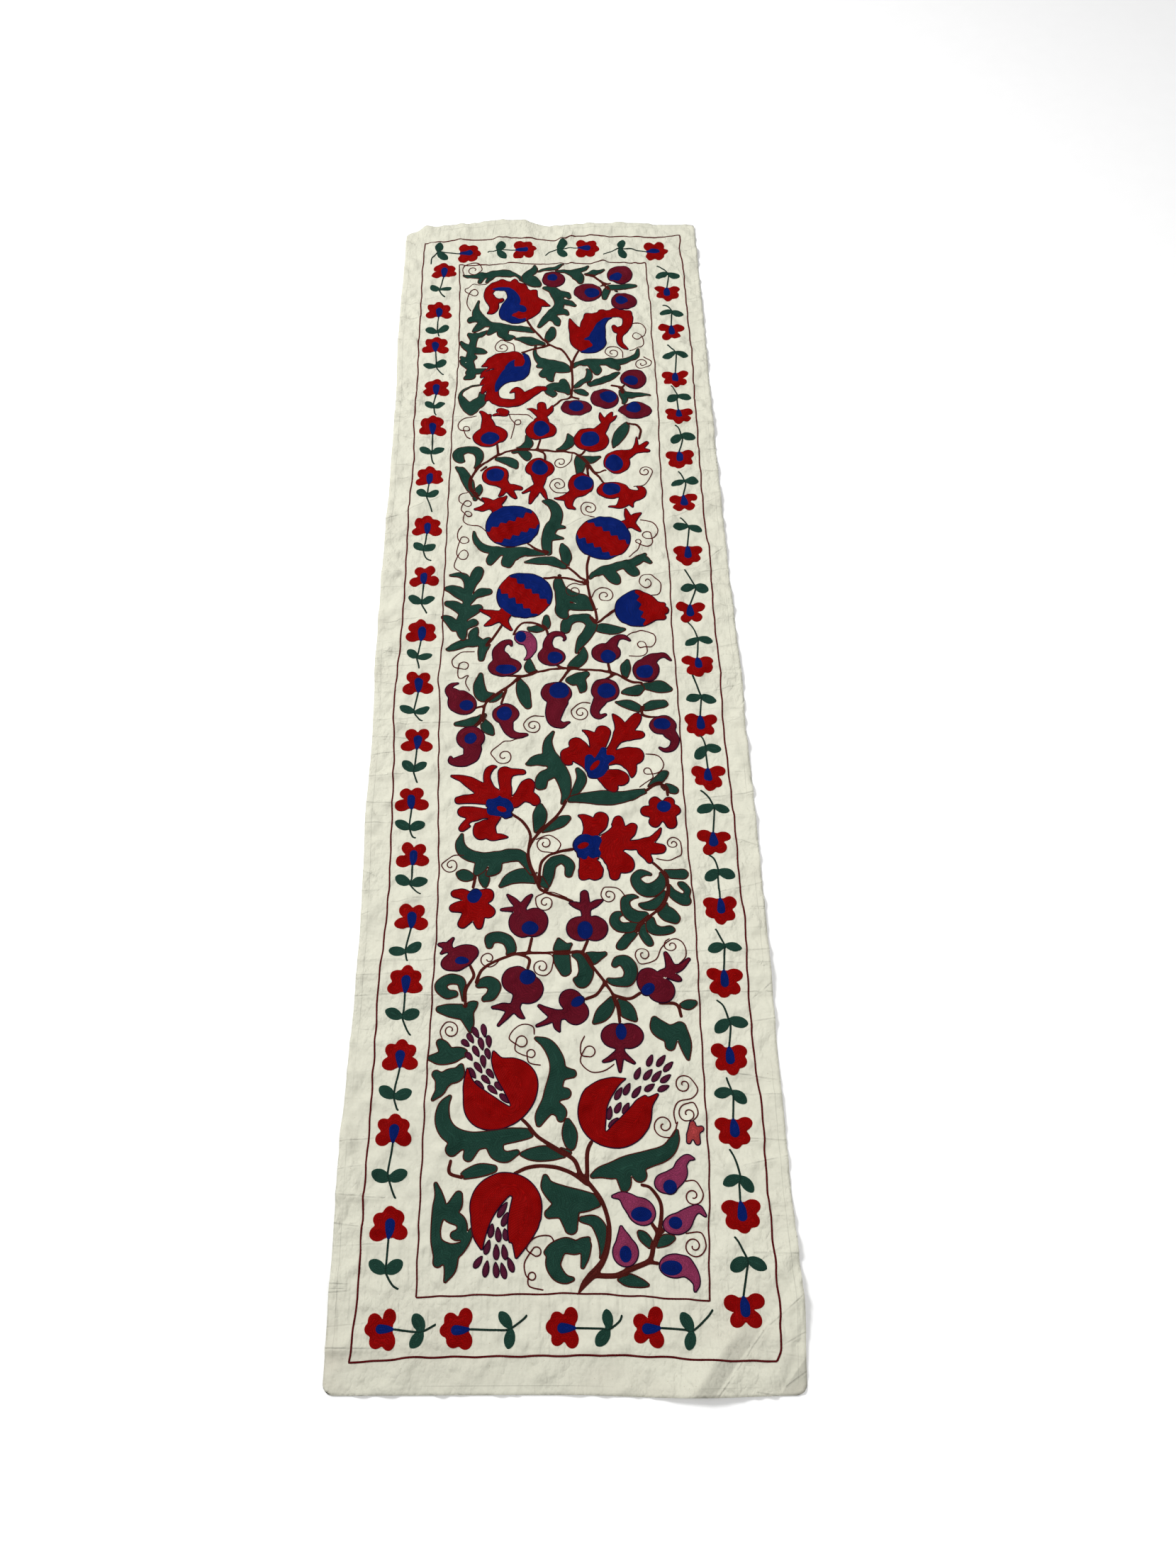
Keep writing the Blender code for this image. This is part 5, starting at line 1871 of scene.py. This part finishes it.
class RUNNER_OT_seeds(bpy.types.Operator):
    """Stitch the seeds that spill from the open fruit"""

    bl_idname = "runner.seeds"
    bl_label = "Seeds"

    def execute(self, context):
        seeds, edges = Needlework("seeds", "seed"), Needlework("seed_edges", "navy")
        for text in SEEDS:
            for x, y, aim, half in number_rows(text):
                seed = placed([seed_drop(half)], x, y, aim)
                stitch_motif([(seeds, seed)], edges, SEED_EDGE_WIDTH)
        seeds.finish()
        edges.finish()
        return {"FINISHED"}


class RUNNER_OT_foliage(bpy.types.Operator):
    """Stitch the stems and leaves of the field"""

    bl_idname = "runner.foliage"
    bl_label = "Stems and Leaves"

    def execute(self, context):
        stems, leaves, edges = (
            Needlework("field_stems", "brown"), Needlework("field_leaves", "green"),
            Needlework("leaf_edges", "brown"),
        )
        for row in STEMS:
            stitch_motif([(stems, drawn(row))])
        for row in LEAVES:
            body, _, bare = row.partition("!")
            stitch_motif([(leaves, drawn(body))], edges, EDGE_WIDTH, drawn(bare))
        for work in (stems, leaves, edges):
            work.finish()
        return {"FINISHED"}


class RUNNER_OT_tendrils(bpy.types.Operator):
    """Stitch the curling tendrils"""

    bl_idname = "runner.tendrils"
    bl_label = "Tendrils"

    def execute(self, context):
        work = Needlework("tendrils", "frame")
        for row in TENDRILS:
            lay_cord(work, tendril_line(row), TENDRIL_WIDTH)
        work.finish()
        return {"FINISHED"}


# Floor, lights and camera. A light is its name, place, share of the key light's power and
# size. The camera is where the photograph was taken from, over the near end of the cloth.
FLOOR_HALF = 6.0
FLOOR_HEIGHT = -0.0004
SQUARE = ((-1, -1), (1, -1), (1, 1), (-1, 1))
LIGHTS = (
    ("key_light", (-1.7, 1.0, 2.3), 1.0, 1.0),
    ("side_light", (1.8, -1.2, 2.4), 0.32, 2.2),
)
CAMERA_PLACE = (-0.0002, -0.9020, 1.3775)
CAMERA_TURN = (27.492, 1.456, -0.005)
CAMERA_SHIFT = 0.0370
SENSOR_WIDTH = 36.0


class RUNNER_OT_stage(bpy.types.Operator):
    """Make the floor, the lights and the camera"""

    bl_idname = "runner.stage"
    bl_label = "Stage"

    def execute(self, context):
        stage = context.scene.runner_stage
        corners = [(x * FLOOR_HALF, y * FLOOR_HALF, FLOOR_HEIGHT) for x, y in SQUARE]
        mesh = bpy.data.meshes.new("floor")
        mesh.from_pydata(corners, [], [(0, 1, 2, 3)])
        mesh.materials.append(floor_material())
        floor = add_object("floor", mesh)
        for name, place, share, size in LIGHTS:
            add_light(name, place, stage.key * share, size)
        world = bpy.data.worlds.new("studio")
        world.use_nodes = True
        background = world.node_tree.nodes["Background"]
        background.inputs["Color"].default_value = (1.0, 1.0, 1.0, 1.0)
        background.inputs["Strength"].default_value = stage.fill
        context.scene.world = world
        context.scene.view_settings.view_transform = "Standard"
        add_camera(stage.lens)
        return {"FINISHED"}


def add_light(name, place, power, size):
    """Square soft light that faces the middle of the cloth."""
    lamp = bpy.data.lights.new(name, "AREA")
    lamp.energy = power
    lamp.size = size
    light = add_object(name, lamp)
    light.location = place
    x, y, z = place
    light.rotation_euler = (atan2(hypot(x, y), z), 0, atan2(x, -y))


def add_camera(lens):
    """Camera at the photograph's place, relative to the cloth's own middle."""
    middle_x, middle_y = SURFACE["middle"]
    data = bpy.data.cameras.new("camera")
    data.sensor_width = SENSOR_WIDTH
    data.lens = lens
    data.shift_x = CAMERA_SHIFT
    camera = add_object("camera", data)
    x, y, z = CAMERA_PLACE
    camera.location = (x - middle_x, y - middle_y, z)
    camera.rotation_euler = [radians(angle) for angle in CAMERA_TURN]
    bpy.context.scene.camera = camera


class RUNNER_PT_panel(bpy.types.Panel):
    """Runner tools in the sidebar"""

    bl_idname = "RUNNER_PT_panel"
    bl_label = "Embroidered Runner"
    bl_space_type = "VIEW_3D"
    bl_region_type = "UI"
    bl_category = "Runner"

    def draw(self, context):
        for operator in OPERATORS:
            self.layout.operator(operator.bl_idname)
        for group in ("runner_cloth", "runner_stitch", "runner_stage"):
            box = self.layout.box()
            for name in getattr(context.scene, group).__annotations__:
                box.prop(getattr(context.scene, group), name)


GROUPS = {
    "runner_cloth": RunnerClothSettings,
    "runner_stitch": RunnerStitchSettings,
    "runner_stage": RunnerStageSettings,
}
OPERATORS = (
    RUNNER_OT_cloth,
    RUNNER_OT_frame_lines,
    RUNNER_OT_border,
    RUNNER_OT_flowers,
    RUNNER_OT_seeds,
    RUNNER_OT_foliage,
    RUNNER_OT_tendrils,
    RUNNER_OT_stage,
)


def register():
    """Register the settings, the operators and the panel."""
    for name, group in GROUPS.items():
        bpy.utils.register_class(group)
        setattr(bpy.types.Scene, name, PointerProperty(type=group))
    for operator in OPERATORS:
        bpy.utils.register_class(operator)
    bpy.utils.register_class(RUNNER_PT_panel)


def unregister():
    """Take the panel, the operators and the settings out again."""
    bpy.utils.unregister_class(RUNNER_PT_panel)
    for operator in reversed(OPERATORS):
        bpy.utils.unregister_class(operator)
    for name, group in GROUPS.items():
        delattr(bpy.types.Scene, name)
        bpy.utils.unregister_class(group)


def main():
    """Register the add-on and make every piece in order."""
    register()
    for operator in OPERATORS:
        group, name = operator.bl_idname.split(".")
        getattr(getattr(bpy.ops, group), name)()


if __name__ == "__main__":
    main()
